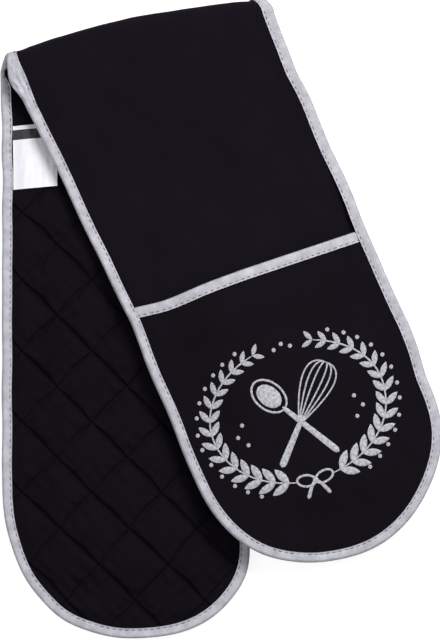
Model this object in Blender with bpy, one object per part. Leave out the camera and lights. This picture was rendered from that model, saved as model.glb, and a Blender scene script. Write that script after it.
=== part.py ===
"""Double oven glove: one long quilted strip, folded across its middle, with a hand pocket at each end.

Metres, +Z up. The glove lies flat as it is laid out on a table: the rear half is underneath with its
quilted back up and its pocket down, and the front half is folded over it with its pocket up. Each half
fans out a little from the fold. Lengths along a half run from the axis of the fold roll to the finger
end, and lengths across it run from its centre line. Depth runs in from the face cloth.
"""
import math

import bmesh
import bpy
from mathutils import Matrix, Vector

# Strip
STRIP_WIDTH = 0.185
REAR_LENGTH = 0.442
FRONT_LENGTH = 0.418
REAR_END_FULLNESS = 2.25
FRONT_END_FULLNESS = 2.0
FAN_ANGLE = math.radians(11.85)
REAR_LEAN = 0.006
REAR_LEAN_START = 0.335
REAR_LEAN_RUN = 0.070

# Cloth and padding, from the face cloth inwards
FACE_THICKNESS = 0.0007
EDGE_WADDING = 0.0010
CROWN_WADDING = 0.0024
BACKING_THICKNESS = 0.0008
PILLOW_HEIGHT = 0.0018
LAYER_GAP = 0.0003
BACKING_GAP = 0.0006

# Quilting: squares on their corners, measured corner to corner
QUILT_DIAMOND = 0.0525
QUILT_FIRST_CROSSING = 0.0256
PILLOW_STEEPNESS = 9
PILLOW_INSET_SHARE = 1.6

# Fold roll
ROLL_RADIUS = 0.010
ROLL_BOW = 0.008
ROLL_RUN = 0.0036
ROLL_CUT_ANGLE = math.radians(45)
ROLL_CUT_GAP = 0.0007
ROLL_FADE = 0.160
FOLD_OPEN_ANGLE = math.radians(87)

# Edge binding
BINDING_WIDTH = 0.0076
BINDING_THICKNESS = 0.0007
BINDING_GAP = 0.0006
FLOOR_CLEARANCE = 0.0003

# Pockets
POCKET_DEPTH = 0.2265
MOUTH_SLANT = 0.0078
POCKET_CLOTH = 0.0006
POCKET_EDGE_WADDING = 0.0008
POCKET_CROWN_WADDING = 0.0014
POCKET_LINING = 0.0006
SEAM_GAP = 0.0004
REAR_CAVITY = 0.0064
MOUTH_ROOM = 0.0024
FRONT_CAVITY = 0.0068
POCKET_SIDE_GAP = 0.0009
MOUTH_TAPE_WIDTH = 0.0080
POCKET_OPEN_ANGLE = math.radians(8)
POCKET_HINGE_RISE = 0.011

# Drape of the front half over the rear half
REST_GAP = 0.0020
OVERHANG_REACH = 0.090
OVERHANG_INSET = 0.015
RAMP_START = 0.085
ROLL_DESCENT = 0.115

# Care label, sewn into the left binding of the rear half
LABEL_WIDTH = 0.0325
LABEL_LENGTH = 0.046
LABEL_THICKNESS = 0.0004
LABEL_PLACE = 0.071
LABEL_SLANT = 0.105

# How the pieces are faceted
CELLS_PER_DIAMOND = 2
BAND_ROWS_PER_STEP = 8
END_STEPS = 16
EDGE_STEP = 0.017
MOUTH_STEPS = 10
ROLL_STEP_SHARES = (1.0, 0.65, 0.3)
ROLL_STEPS = 6
ALONG_CORRECTIONS = 8

HALF_WIDTH = STRIP_WIDTH / 2
EDGE_INSET = BINDING_THICKNESS + BINDING_GAP
EDGE_LIFT = EDGE_INSET + FLOOR_CLEARANCE
REAR_MOUTH = REAR_LENGTH - POCKET_DEPTH
FRONT_MOUTH = FRONT_LENGTH - POCKET_DEPTH
EDGE_BAND_SHARE = 1.4
EDGE_BAND = EDGE_BAND_SHARE * BINDING_WIDTH
CROWN_REACH_SHARE = 0.27
CROWN_REACH = CROWN_REACH_SHARE * STRIP_WIDTH
MOUTH_LIFT_REACH = 2 * MOUTH_TAPE_WIDTH
MOUTH_ROOM_REACH = 6 * MOUTH_TAPE_WIDTH
BINDING_RISE_LEAD = 8 * MOUTH_TAPE_WIDTH
BINDING_RISE_RUN = 7 * MOUTH_TAPE_WIDTH
HINGE_CLEARANCE = 1.5 * EDGE_INSET
JOIN_DISTANCE = LAYER_GAP / 10


def smooth(x):
    """Ease from 0 to 1 with level ends."""
    x = min(1.0, max(0.0, x))
    return x * x * (3 - 2 * x)


def mix(a, b, share):
    return a + (b - a) * share


class Half:
    """One half of the strip: its outline, and where it lies."""

    def __init__(self, length, fullness, side, mouth, slant, lean):
        self.length = length
        self.fullness = fullness
        self.side = side
        self.mouth = mouth
        self.slant = slant
        self.lean = lean
        self.end_start = length - HALF_WIDTH
        self.angle = side * FAN_ANGLE

    def mouth_line(self, across):
        return self.mouth + self.slant * across / HALF_WIDTH

    def lean_at(self, along):
        """How far the end has been pushed sideways."""
        return self.lean * smooth((along - REAR_LEAN_START) / REAR_LEAN_RUN)

    def edge_distance(self, across, along):
        """Distance in from the binding's outer edge."""
        if along <= self.end_start:
            return HALF_WIDTH - abs(across)
        n = self.fullness
        reach = (abs(across) / HALF_WIDTH) ** n + ((along - self.end_start) / HALF_WIDTH) ** n
        return HALF_WIDTH * (1 - reach ** (1 / n))

    def end_point(self, turn, inset):
        """Point on the rounded finger end, turned from the right side (0) to the left side (pi)."""
        radius = HALF_WIDTH - inset
        power = 2 / self.fullness
        across = math.copysign(radius * abs(math.cos(turn)) ** power, math.cos(turn))
        return across, self.end_start + radius * abs(math.sin(turn)) ** power

    def outline(self, start, inset):
        """Outline of the half from a straight cut at start, right side first."""
        side = HALF_WIDTH - inset
        points = [(side, start)]
        points += [self.end_point(math.pi * i / END_STEPS, inset) for i in range(END_STEPS + 1)]
        return points + [(-side, start)]

    def pocket_outline(self, inset, back=0.0):
        """Outline of the pocket, with its mouth edge moved back towards the finger end."""
        side = HALF_WIDTH - inset
        points = [self.end_point(math.pi * i / END_STEPS, inset) for i in range(END_STEPS + 1)]
        mouth = [mix(-side, side, i / MOUTH_STEPS) for i in range(MOUTH_STEPS + 1)]
        return points + [(across, self.mouth_line(across) + back) for across in mouth]

    def drop(self, across, along):
        """How far a point is moved down so that near the fold its row is parallel to the fold."""
        fade = 1 - smooth(along / ROLL_FADE)
        share = across / HALF_WIDTH
        tilt = across * math.tan(self.angle) + ROLL_BOW * share * share / math.cos(self.angle)
        return fade * tilt

    def along_at(self, across, down):
        """Along of the point that ends up that far down the half, found by repeated correction."""
        along = down
        for _ in range(ALONG_CORRECTIONS):
            along = down - self.drop(across, along)
        return along

    def plan(self, across, along):
        """Plan position of a point of the half."""
        down = along + self.drop(across, along)
        across += self.lean_at(along)
        x = self.side * ROLL_RUN + across * math.cos(self.angle) + down * math.sin(self.angle)
        y = across * math.sin(self.angle) - down * math.cos(self.angle)
        return x, y

    def strip_coordinates(self, x, y):
        """Across and along for a plan position, away from the fold."""
        x -= self.side * ROLL_RUN
        across = x * math.cos(self.angle) + y * math.sin(self.angle)
        along = x * math.sin(self.angle) - y * math.cos(self.angle)
        return across - self.lean_at(along), along


REAR = Half(REAR_LENGTH, REAR_END_FULLNESS, -1, REAR_MOUTH, 0.0, REAR_LEAN)
FRONT = Half(FRONT_LENGTH, FRONT_END_FULLNESS, 1, FRONT_MOUTH, MOUTH_SLANT, 0.0)


# Heights. Thickness grows from the binding to the middle, as in any sewn pad.

def crown(half, across, along, reach=CROWN_REACH):
    return smooth((half.edge_distance(across, along) - EDGE_BAND) / reach)


def edge_lift(half, across, along):
    """The strip rides on its own binding at the edges."""
    distance = half.edge_distance(across, along)
    return EDGE_LIFT * (1 - smooth((distance - EDGE_BAND) / (2 * EDGE_BAND)))


def wadding_thickness(half, across, along):
    return mix(EDGE_WADDING, CROWN_WADDING, crown(half, across, along))


def strip_thickness(half, across, along):
    """From the face cloth to the quilting seams of the backing."""
    wadding = wadding_thickness(half, across, along)
    return FACE_THICKNESS + LAYER_GAP + wadding + BACKING_GAP + BACKING_THICKNESS


def pocket_wadding_thickness(half, across, along):
    return mix(POCKET_EDGE_WADDING, POCKET_CROWN_WADDING, crown(half, across, along))


def pocket_thickness(half, across, along):
    wadding = pocket_wadding_thickness(half, across, along)
    return POCKET_CLOTH + LAYER_GAP + wadding + LAYER_GAP + POCKET_LINING


def cavity(half, across, along, height):
    return mix(SEAM_GAP, height, crown(half, across, along))


def mouth_room(half, across, along):
    """Extra height that the tape round the mouth takes up."""
    past_tape = (along - half.mouth_line(across) - MOUTH_TAPE_WIDTH) / MOUTH_ROOM_REACH
    return MOUTH_ROOM * (1 - smooth(past_tape))


def rear_pocket_zone(along):
    return smooth((along - RAMP_START) / (REAR_MOUTH - RAMP_START))


def rear_face_height(across, along):
    """Underside of the rear half's face cloth: on the table near the fold, over the pocket at the end."""
    flat = edge_lift(REAR, across, along)
    over = flat + pocket_thickness(REAR, across, along) + cavity(REAR, across, along, REAR_CAVITY)
    over += mouth_room(REAR, across, along)
    return mix(flat, over, rear_pocket_zone(along))


def rear_pocket_height(across, along):
    """Underside of the rear pocket. Its mouth is lifted by the tape that wraps it."""
    mouth = EDGE_LIFT * (1 - smooth((along - REAR_MOUTH - MOUTH_TAPE_WIDTH) / MOUTH_LIFT_REACH))
    return max(edge_lift(REAR, across, along), mouth)


REAR_TOP_FLAT = (EDGE_LIFT + FACE_THICKNESS + LAYER_GAP + CROWN_WADDING + BACKING_GAP
                 + BACKING_THICKNESS + PILLOW_HEIGHT)
REAR_TOP_POCKET = (REAR_TOP_FLAT + REAR_CAVITY + MOUTH_ROOM + POCKET_CLOTH + POCKET_CROWN_WADDING + POCKET_LINING
                   + 2 * LAYER_GAP)


def support_height(x, y):
    """Height of what the front half lies on: the rear half, then a slope down to the table."""
    across, along = REAR.strip_coordinates(x, y)
    top = mix(REAR_TOP_FLAT, REAR_TOP_POCKET, rear_pocket_zone(along))
    distance = REAR.edge_distance(across, max(along, 0.0))
    return top * smooth((distance + OVERHANG_REACH - OVERHANG_INSET) / OVERHANG_REACH)


def front_face_height(across, along):
    """Top of the front half's face cloth."""
    thickness = strip_thickness(FRONT, across, along)
    bottom = support_height(*FRONT.plan(across, along)) + REST_GAP
    top = bottom + PILLOW_HEIGHT + edge_lift(FRONT, across, along) + thickness
    return mix(2 * ROLL_RADIUS, top, smooth(along / ROLL_DESCENT))


def front_pocket_height(across, along):
    """Underside of the front pocket's lining."""
    room = cavity(FRONT, across, along, FRONT_CAVITY) + mouth_room(FRONT, across, along)
    return front_face_height(across, along) + room


# Places in space. Along is negative on the roll, where it counts the arc.

def roll_point(across, angle, depth):
    """Point on the fold roll, turned from its underside (0) over its crest to its top (pi)."""
    share = across / HALF_WIDTH
    run = ROLL_RUN + ROLL_BOW * share * share * math.tan(FAN_ANGLE)
    x = across / math.cos(FAN_ANGLE) + run * (2 * angle / math.pi - 1)
    radius = ROLL_RADIUS - depth
    y = radius * math.sin(angle) - ROLL_BOW * share * share
    return Vector((x, y, ROLL_RADIUS - radius * math.cos(angle)))


def rear_point(across, along, depth):
    if along >= 0:
        x, y = REAR.plan(across, along)
        return Vector((x, y, rear_face_height(across, along) + depth))
    angle = -along / ROLL_RADIUS
    lift = edge_lift(REAR, across, 0) * (1 + math.cos(math.pi * angle / ROLL_CUT_ANGLE)) / 2
    return roll_point(across, angle, depth) + Vector((0, 0, lift))


def front_point(across, along, depth):
    if along >= 0:
        x, y = FRONT.plan(across, along)
        return Vector((x, y, front_face_height(across, along) - depth))
    return roll_point(across, math.pi + along / ROLL_RADIUS, depth)


def fold_point(across, along, depth):
    """Along runs from the lower cut of the roll to its upper cut."""
    return roll_point(across, along / ROLL_RADIUS, depth)


def rear_pocket_point(across, along, depth):
    x, y = REAR.plan(across, along)
    return Vector((x, y, rear_pocket_height(across, along) + depth))


def front_pocket_point(across, along, depth):
    x, y = FRONT.plan(across, along)
    top = front_pocket_height(across, along) + pocket_thickness(FRONT, across, along)
    return Vector((x, y, top - depth))


ROLL_START = -ROLL_RADIUS * ROLL_CUT_ANGLE + ROLL_CUT_GAP / 2


# Making a layer: a flat lattice is cut to the outline, given thickness and then laid in place.

def cut_to_outline(bm, outline):
    """Trim a flat mesh to a convex outline that runs anticlockwise."""
    count = len(outline)
    for i, (x, y) in enumerate(outline):
        next_x, next_y = outline[(i + 1) % count]
        outward = Vector((next_y - y, x - next_x, 0))
        if outward.length < LAYER_GAP:
            continue
        geometry = bm.verts[:] + bm.edges[:] + bm.faces[:]
        bmesh.ops.bisect_plane(bm, geom=geometry, dist=JOIN_DISTANCE, plane_co=(x, y, 0),
                               plane_no=outward.normalized(), clear_outer=True)


def lattice(outline, creases=()):
    """Flat lattice of the quilting squares, each split in cells, cut to an outline.

    Creases are lines straight across the strip that get points of their own.
    """
    side = QUILT_DIAMOND / math.sqrt(2)
    squares = 2 * math.ceil(REAR_LENGTH / side)
    bm = bmesh.new()
    segments = squares * CELLS_PER_DIAMOND
    bmesh.ops.create_grid(bm, x_segments=segments, y_segments=segments, size=squares * side / 2)
    bmesh.ops.rotate(bm, verts=bm.verts, matrix=Matrix.Rotation(math.pi / 4, 3, "Z"))
    place = QUILT_FIRST_CROSSING + QUILT_DIAMOND * round(REAR_LENGTH / 2 / QUILT_DIAMOND)
    bmesh.ops.translate(bm, verts=bm.verts, vec=(0, place, 0))
    cut_to_outline(bm, outline)
    for along in creases:
        geometry = bm.verts[:] + bm.edges[:] + bm.faces[:]
        bmesh.ops.bisect_plane(bm, geom=geometry, dist=JOIN_DISTANCE, plane_co=(0, along, 0),
                               plane_no=(0, 1, 0))
    bmesh.ops.dissolve_degenerate(bm, dist=LAYER_GAP, edges=bm.edges[:])
    bmesh.ops.triangulate(bm, faces=bm.faces[:])
    return bm


def band(outline, step):
    """Flat grid for a piece on the roll, cut square."""
    (x0, y0), (x1, y1) = outline
    columns = max(1, round((x1 - x0) / step))
    rows = max(1, round(BAND_ROWS_PER_STEP * (y1 - y0) / step))
    bm = bmesh.new()
    bmesh.ops.create_grid(bm, x_segments=columns, y_segments=rows, size=0.5)
    for vert in bm.verts:
        vert.co = Vector((mix(x0, x1, vert.co.x + 0.5), mix(y0, y1, vert.co.y + 0.5), 0))
    bmesh.ops.triangulate(bm, faces=bm.faces[:])
    return bm


def thicken(bm, point, outer, inner):
    """Close a flat mesh into a layer between two depths, and lay it in place."""
    flat = bm.verts[:]
    made = bmesh.ops.extrude_face_region(bm, geom=bm.faces[:])
    lower = [item for item in made["geom"] if isinstance(item, bmesh.types.BMVert)]
    for verts, depth in ((flat, outer), (lower, inner)):
        for vert in verts:
            across, along = vert.co.x, vert.co.y
            vert.co = point(across, along, depth(across, along))
    bmesh.ops.recalc_face_normals(bm, faces=bm.faces[:])
    return bm


def pillow(across, along):
    """Height of the quilted backing over its seams: 0 on the seams, 1 in the middle of a square."""
    from_crossing = (along - QUILT_FIRST_CROSSING) / QUILT_DIAMOND
    first = (from_crossing + across / QUILT_DIAMOND) % 1
    second = (from_crossing - across / QUILT_DIAMOND) % 1
    return min(1, PILLOW_STEEPNESS * min(first, 1 - first) * min(second, 1 - second))


# Objects

def material(name, colour, roughness):
    made = bpy.data.materials.new(name)
    made.use_nodes = True
    shader = made.node_tree.nodes["Principled BSDF"]
    shader.inputs["Base Color"].default_value = (*colour, 1)
    shader.inputs["Roughness"].default_value = roughness
    shader.inputs["Metallic"].default_value = 0.0
    made.diffuse_color = (*colour, 1)
    return made


def add_object(name, bm, finish, parent):
    mesh = bpy.data.meshes.new(name)
    bm.to_mesh(mesh)
    bm.free()
    made = bpy.data.objects.new(name, mesh)
    made.data.materials.append(finish)
    bpy.context.scene.collection.objects.link(made)
    made.parent = parent
    made.matrix_parent_inverse = parent.matrix_world.inverted()
    return made


def add_pivot(name, place, parent=None, turn=0.0, travel=0.0):
    """Empty on a hinge line. Its X axis is the hinge's axis, and travel is how far it turns."""
    pivot = bpy.data.objects.new(name, None)
    pivot.empty_display_size = ROLL_RADIUS
    pivot.location = place - (parent.matrix_world.translation if parent else Vector())
    pivot.rotation_euler.z = turn
    pivot.parent = parent
    bpy.context.scene.collection.objects.link(pivot)
    limit = pivot.constraints.new("LIMIT_ROTATION")
    limit.use_limit_x = True
    limit.min_x, limit.max_x = min(0.0, travel), max(0.0, travel)
    limit.owner_space = "LOCAL"
    bpy.context.view_layer.update()
    return pivot


FACE_BLACK = (0.0085, 0.0065, 0.0100)
QUILT_BLACK = (0.0050, 0.0040, 0.0062)
TAPE_GREY = (0.45, 0.45, 0.48)
WADDING_WHITE = (0.70, 0.68, 0.64)
LINING_BLACK = (0.0100, 0.0090, 0.0110)
LABEL_WHITE = (0.70, 0.68, 0.71)


def strip_layers(name, half, point, flat_mesh, parent):
    """Face cloth, wadding and quilted backing of one stretch of the strip."""

    def wadding_top(across, along):
        return FACE_THICKNESS + LAYER_GAP

    def wadding_bottom(across, along):
        return wadding_top(across, along) + wadding_thickness(half, across, max(along, 0))

    def backing_top(across, along):
        return wadding_bottom(across, along) + BACKING_GAP

    def backing_bottom(across, along):
        from_edge = half.edge_distance(across, max(along, 0)) - PILLOW_INSET_SHARE * EDGE_BAND
        puff = PILLOW_HEIGHT * pillow(across, along) * smooth(from_edge / EDGE_BAND)
        return backing_top(across, along) + BACKING_THICKNESS + puff

    def face_top(across, along):
        return 0.0

    def face_bottom(across, along):
        return FACE_THICKNESS

    layers = (("face_cloth", face_top, face_bottom, FACE_BLACK, 0.85),
              ("wadding", wadding_top, wadding_bottom, WADDING_WHITE, 0.95),
              ("quilted_backing", backing_top, backing_bottom, QUILT_BLACK, 0.85))
    for layer, outer, inner, colour, roughness in layers:
        bm = thicken(flat_mesh(), point, outer, inner)
        add_object(f"{name}_{layer}", bm, material(f"{name}_{layer}", colour, roughness), parent)


def half_layers(name, half, point, parent):
    outline = half.outline(ROLL_START, EDGE_INSET)
    creases = [ROLL_START * share for share in ROLL_STEP_SHARES[1:]] + [0.0, EDGE_STEP / 2, EDGE_STEP]
    strip_layers(name, half, point, lambda: lattice(outline, creases), parent)


def fold_layers(parent):
    reach = ROLL_RADIUS * (math.pi - ROLL_CUT_ANGLE) - ROLL_CUT_GAP / 2
    side = HALF_WIDTH - EDGE_INSET
    corners = ((-side, -ROLL_START + ROLL_CUT_GAP), (side, reach))
    strip_layers("fold", REAR, fold_point, lambda: band(corners, EDGE_STEP), parent)


def pocket_layers(name, half, point, inset, back, parent):
    """Outer cloth, wadding and lining of one pocket."""
    outline = half.pocket_outline(inset, back)

    def wadding_inner(across, along):
        return POCKET_CLOTH + LAYER_GAP + pocket_wadding_thickness(half, across, along)

    layers = (("cloth", lambda u, v: 0.0, lambda u, v: POCKET_CLOTH, FACE_BLACK),
              ("wadding", lambda u, v: POCKET_CLOTH + LAYER_GAP, wadding_inner, WADDING_WHITE),
              ("lining", lambda u, v: wadding_inner(u, v) + LAYER_GAP,
               lambda u, v: wadding_inner(u, v) + LAYER_GAP + POCKET_LINING, LINING_BLACK))
    for layer, outer, inner, colour in layers:
        bm = thicken(lattice(outline), point, outer, inner)
        add_object(f"{name}_{layer}", bm, material(f"{name}_{layer}", colour, 0.85), parent)


def sweep_tape(sections):
    """Join C-shaped cross-sections of a tape into one closed solid."""
    bm = bmesh.new()
    rings = [[bm.verts.new(point) for point in section] for section in sections]
    count = len(rings[0])
    for ring, following in zip(rings, rings[1:]):
        for i in range(count):
            j = (i + 1) % count
            bm.faces.new((ring[i], ring[j], following[j], following[i]))
    for ring in (rings[0], rings[-1]):
        for i in range(count // 2 - 1):
            bm.faces.new((ring[i], ring[i + 1], ring[count - 2 - i], ring[count - 1 - i]))
    bmesh.ops.triangulate(bm, faces=bm.faces[:])
    bmesh.ops.recalc_face_normals(bm, faces=bm.faces[:])
    return bm


def tape_section(place, width, top, bottom):
    """C-shaped section. Place gives a point from the distance in from the edge and the height.

    Top and bottom give the tape's outer faces at a distance in. Between them the tape turns over the
    edge with small chamfers.
    """
    wall = BINDING_THICKNESS
    outer = ((width, top(width)), (2 * wall, top(2 * wall)), (0.0, top(0.0) - 2 * wall),
             (0.0, bottom(0.0) + 2 * wall), (2 * wall, bottom(2 * wall)), (width, bottom(width)))
    inner = ((width, bottom(width) + wall), (2 * wall, bottom(2 * wall) + wall),
             (wall, bottom(wall) + 2 * wall), (wall, top(wall) - 2 * wall),
             (2 * wall, top(2 * wall) - wall), (width, top(width) - wall))
    return [place(distance, height) for distance, height in outer + inner]


def edge_path(half):
    """Outer edge of a half from the roll on its right, round the finger end, to the roll on its left."""
    steps = max(2, round(half.end_start / EDGE_STEP))
    right = [(HALF_WIDTH, half.end_start * i / steps) for i in range(steps)]
    left = [(-across, along) for across, along in reversed(right)]
    end = [half.end_point(math.pi * i / END_STEPS, 0) for i in range(END_STEPS + 1)]
    return right + end + left


def path_normal(half, path, index):
    """Unit direction in from the edge at a point of the path."""
    before = path[max(0, index - 1)]
    after = path[min(len(path) - 1, index + 1)]
    along, across = after[1] - before[1], after[0] - before[0]
    size = math.hypot(across, along)
    return -along / size, across / size


def edge_binding(name, half, surfaces, roll_sections, parent):
    """Tape folded over the edge of a half, from roll cut to roll cut."""
    path = edge_path(half)
    sections = [roll_sections(HALF_WIDTH, share) for share in ROLL_STEP_SHARES]
    for index, (across, along) in enumerate(path):
        normal = path_normal(half, path, index)

        def inward(distance):
            return across + normal[0] * distance, along + normal[1] * distance

        def place(distance, height):
            return Vector((*half.plan(*inward(distance)), height))

        def top(distance):
            return surfaces[0](*inward(distance))

        def bottom(distance):
            return surfaces[1](*inward(distance))

        sections.append(tape_section(place, BINDING_WIDTH, top, bottom))
    sections += [roll_sections(-HALF_WIDTH, share) for share in reversed(ROLL_STEP_SHARES)]
    bm = sweep_tape(sections)
    add_object(name, bm, material(name, TAPE_GREY, 0.7), parent)


def roll_tape_section(across, half, angle, lift):
    """C-shaped section of the binding on the roll."""
    side = math.copysign(1, across)

    def place(distance, height):
        return roll_point(across - side * distance, angle, -height) + Vector((0, 0, lift))

    def top(distance):
        return EDGE_INSET

    def bottom(distance):
        return -strip_thickness(half, across, 0) - EDGE_INSET

    return tape_section(place, BINDING_WIDTH, top, bottom)


def rear_roll_tape(across, share):
    angle = ROLL_CUT_ANGLE * share - ROLL_CUT_GAP / 2 / ROLL_RADIUS
    lift = edge_lift(REAR, across, 0) * (1 + math.cos(math.pi * angle / ROLL_CUT_ANGLE)) / 2
    return reversed_section(roll_tape_section(across, REAR, angle, lift))


def front_roll_tape(across, share):
    angle = math.pi - ROLL_CUT_ANGLE * share + ROLL_CUT_GAP / 2 / ROLL_RADIUS
    return roll_tape_section(across, FRONT, angle, 0.0)


def reversed_section(section):
    """The rear half has its face cloth below, so its section is read from the other end."""
    count = len(section) // 2
    return list(reversed(section[:count])) + list(reversed(section[count:]))


def rear_binding_top(across, along):
    return rear_face_height(across, along) + strip_thickness(REAR, across, along) + EDGE_INSET


def rear_binding_bottom(across, along):
    pocket = smooth((along - REAR_MOUTH + BINDING_RISE_LEAD) / BINDING_RISE_RUN)
    strip = rear_face_height(across, along)
    return mix(strip, edge_lift(REAR, across, along), pocket) - EDGE_INSET


def front_binding_top(across, along):
    pocket = smooth((along - FRONT.mouth_line(across) + BINDING_RISE_LEAD) / BINDING_RISE_RUN)
    thickness = pocket_thickness(FRONT, across, along) + SEAM_GAP
    return front_face_height(across, along) + pocket * thickness + EDGE_INSET


def front_binding_bottom(across, along):
    strip = front_face_height(across, along) - strip_thickness(FRONT, across, along)
    return strip - EDGE_INSET - LAYER_GAP


def fold_bindings(parent):
    """The two short stretches of binding that go round the roll."""
    first = ROLL_CUT_ANGLE + ROLL_CUT_GAP / 2 / ROLL_RADIUS
    last = math.pi - first
    for name, across in (("fold_binding_left", -HALF_WIDTH), ("fold_binding_right", HALF_WIDTH)):
        angles = [mix(first, last, i / ROLL_STEPS) for i in range(ROLL_STEPS + 1)]
        bm = sweep_tape([roll_tape_section(across, REAR, angle, 0.0) for angle in angles])
        add_object(name, bm, material(name, TAPE_GREY, 0.7), parent)


def mouth_tape(name, half, point, inset, parent):
    """Tape folded over the mouth edge of a pocket."""
    side = HALF_WIDTH - inset
    sections = []
    for i in range(MOUTH_STEPS + 1):
        across = mix(-side, side, i / MOUTH_STEPS)
        lip = half.mouth_line(across)

        def place(distance, depth):
            return point(across, lip + distance, depth)

        def outer(distance):
            return -EDGE_INSET

        def inner(distance):
            return pocket_thickness(half, across, lip + distance) + EDGE_INSET

        sections.append(tape_section(place, MOUTH_TAPE_WIDTH, inner, outer))
    bm = sweep_tape(sections)
    add_object(name, bm, material(name, TAPE_GREY, 0.7), parent)


def care_label(parent):
    """Satin label that leaves the binding and lies on the quilted backing."""
    bm = bmesh.new()
    columns, rows = 4, 4
    side = HALF_WIDTH - BINDING_WIDTH - BINDING_THICKNESS
    rings = []
    for layer in (0, 1):
        for j in range(rows + 1):
            for i in range(columns + 1):
                out = LABEL_WIDTH * i / columns
                across = out - side
                along = REAR.along_at(across, LABEL_PLACE + LABEL_LENGTH * j / rows - LABEL_SLANT * out)
                top = strip_thickness(REAR, across, along) + PILLOW_HEIGHT + LAYER_GAP
                rings.append(bm.verts.new(rear_point(across, along, top + layer * LABEL_THICKNESS)))
    size = (columns + 1) * (rows + 1)
    for j in range(rows):
        for i in range(columns):
            a = j * (columns + 1) + i
            b, c, d = a + 1, a + columns + 2, a + columns + 1
            bm.faces.new((rings[a], rings[b], rings[c], rings[d]))
            bm.faces.new((rings[a + size], rings[d + size], rings[c + size], rings[b + size]))
    edges = [edge for edge in bm.edges if edge.is_boundary]
    bmesh.ops.bridge_loops(bm, edges=edges)
    bmesh.ops.triangulate(bm, faces=bm.faces[:])
    bmesh.ops.recalc_face_normals(bm, faces=bm.faces[:])
    add_object("care_label", bm, material("care_label", LABEL_WHITE, 0.4), parent)


def fold_hinges():
    """The two hinge lines of the fold, just outside the cuts of the roll."""
    reach = (ROLL_RADIUS + HINGE_CLEARANCE) * math.sin(ROLL_CUT_ANGLE)
    lower = Vector((0, reach, ROLL_RADIUS - reach))
    return lower, Vector((0, reach, ROLL_RADIUS + reach))


def centre_on_floor():
    """Put the origin at the middle of the underside of the whole glove."""
    bpy.context.view_layer.update()
    corners = []
    for item in bpy.context.scene.objects:
        if item.type == "MESH":
            corners += [item.matrix_world @ vert.co for vert in item.data.vertices]
    low = [min(corner[i] for corner in corners) for i in range(3)]
    high = [max(corner[i] for corner in corners) for i in range(3)]
    shift = Vector((-(low[0] + high[0]) / 2, -(low[1] + high[1]) / 2, -low[2]))
    for item in bpy.context.scene.objects:
        if item.parent is None:
            item.location += shift
    bpy.context.view_layer.update()
    return shift, [high[i] - low[i] for i in range(3)]


def build():
    for item in list(bpy.data.objects):
        bpy.data.objects.remove(item, do_unlink=True)
    lower, upper = fold_hinges()
    rear = add_pivot("rear_half", Vector())
    fold = add_pivot("fold", lower, rear, travel=-FOLD_OPEN_ANGLE)
    front = add_pivot("front_half", upper, fold, travel=-FOLD_OPEN_ANGLE)
    inset = BINDING_WIDTH + POCKET_SIDE_GAP
    tip = FRONT_LENGTH - inset
    x, y = FRONT.plan(0, tip)
    hinge = Vector((x, y, front_pocket_height(0, tip) + POCKET_HINGE_RISE))
    pocket_pivot = add_pivot("front_pocket", hinge, front, FAN_ANGLE, POCKET_OPEN_ANGLE)

    half_layers("rear", REAR, rear_point, rear)
    half_layers("front", FRONT, front_point, front)
    fold_layers(fold)
    pocket_layers("rear_pocket", REAR, rear_pocket_point, EDGE_INSET, EDGE_INSET, rear)
    pocket_layers("front_pocket", FRONT, front_pocket_point, inset, EDGE_INSET, pocket_pivot)
    edge_binding("rear_edge_binding", REAR, (rear_binding_top, rear_binding_bottom),
                 rear_roll_tape, rear)
    edge_binding("front_edge_binding", FRONT, (front_binding_top, front_binding_bottom),
                 front_roll_tape, front)
    fold_bindings(fold)
    mouth_tape("rear_pocket_mouth_binding", REAR, rear_pocket_point, inset, rear)
    mouth_tape("front_pocket_mouth_binding", FRONT, front_pocket_point, inset, pocket_pivot)
    care_label(rear)
    shift, size = centre_on_floor()
    print("origin shift", [round(value, 5) for value in shift], "size", [round(v, 4) for v in size])
    for pivot in (fold, front, pocket_pivot):
        print(pivot.name, [round(value, 5) for value in pivot.matrix_world.translation])


build()
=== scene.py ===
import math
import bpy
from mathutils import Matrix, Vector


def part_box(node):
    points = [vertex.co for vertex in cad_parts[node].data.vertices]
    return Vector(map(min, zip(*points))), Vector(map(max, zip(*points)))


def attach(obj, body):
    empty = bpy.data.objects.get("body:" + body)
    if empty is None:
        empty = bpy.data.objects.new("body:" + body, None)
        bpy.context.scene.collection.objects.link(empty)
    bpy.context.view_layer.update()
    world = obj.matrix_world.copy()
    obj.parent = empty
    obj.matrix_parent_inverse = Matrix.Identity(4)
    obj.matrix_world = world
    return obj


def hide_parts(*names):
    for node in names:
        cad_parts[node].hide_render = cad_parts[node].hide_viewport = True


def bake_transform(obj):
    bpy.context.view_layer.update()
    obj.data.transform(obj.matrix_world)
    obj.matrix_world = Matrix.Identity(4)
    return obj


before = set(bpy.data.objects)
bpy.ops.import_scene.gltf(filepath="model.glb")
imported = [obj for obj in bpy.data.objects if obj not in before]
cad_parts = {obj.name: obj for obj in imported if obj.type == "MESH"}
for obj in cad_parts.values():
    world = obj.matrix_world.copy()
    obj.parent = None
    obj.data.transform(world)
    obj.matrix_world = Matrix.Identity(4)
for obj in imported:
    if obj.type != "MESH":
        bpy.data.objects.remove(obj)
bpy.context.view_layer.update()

# Double oven glove, laid out flat for its picture: a long quilted strip, folded over once, with a hand
# pocket at each end. Across and along are distances on the cloth, in metres: across from the centre line,
# along from the axis of the fold to the finger end. Depth runs in from the face cloth.

from types import SimpleNamespace

import bmesh
import bpy
import numpy as np
from mathutils import Vector


# Face cloth
# Black cotton twill, the outside of the glove, cut as one long strip. It lies on the table under the rear
# half, turns round the fold and covers the top of the front half, so it is made as two pieces that meet at
# the outermost line of the fold.

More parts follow.
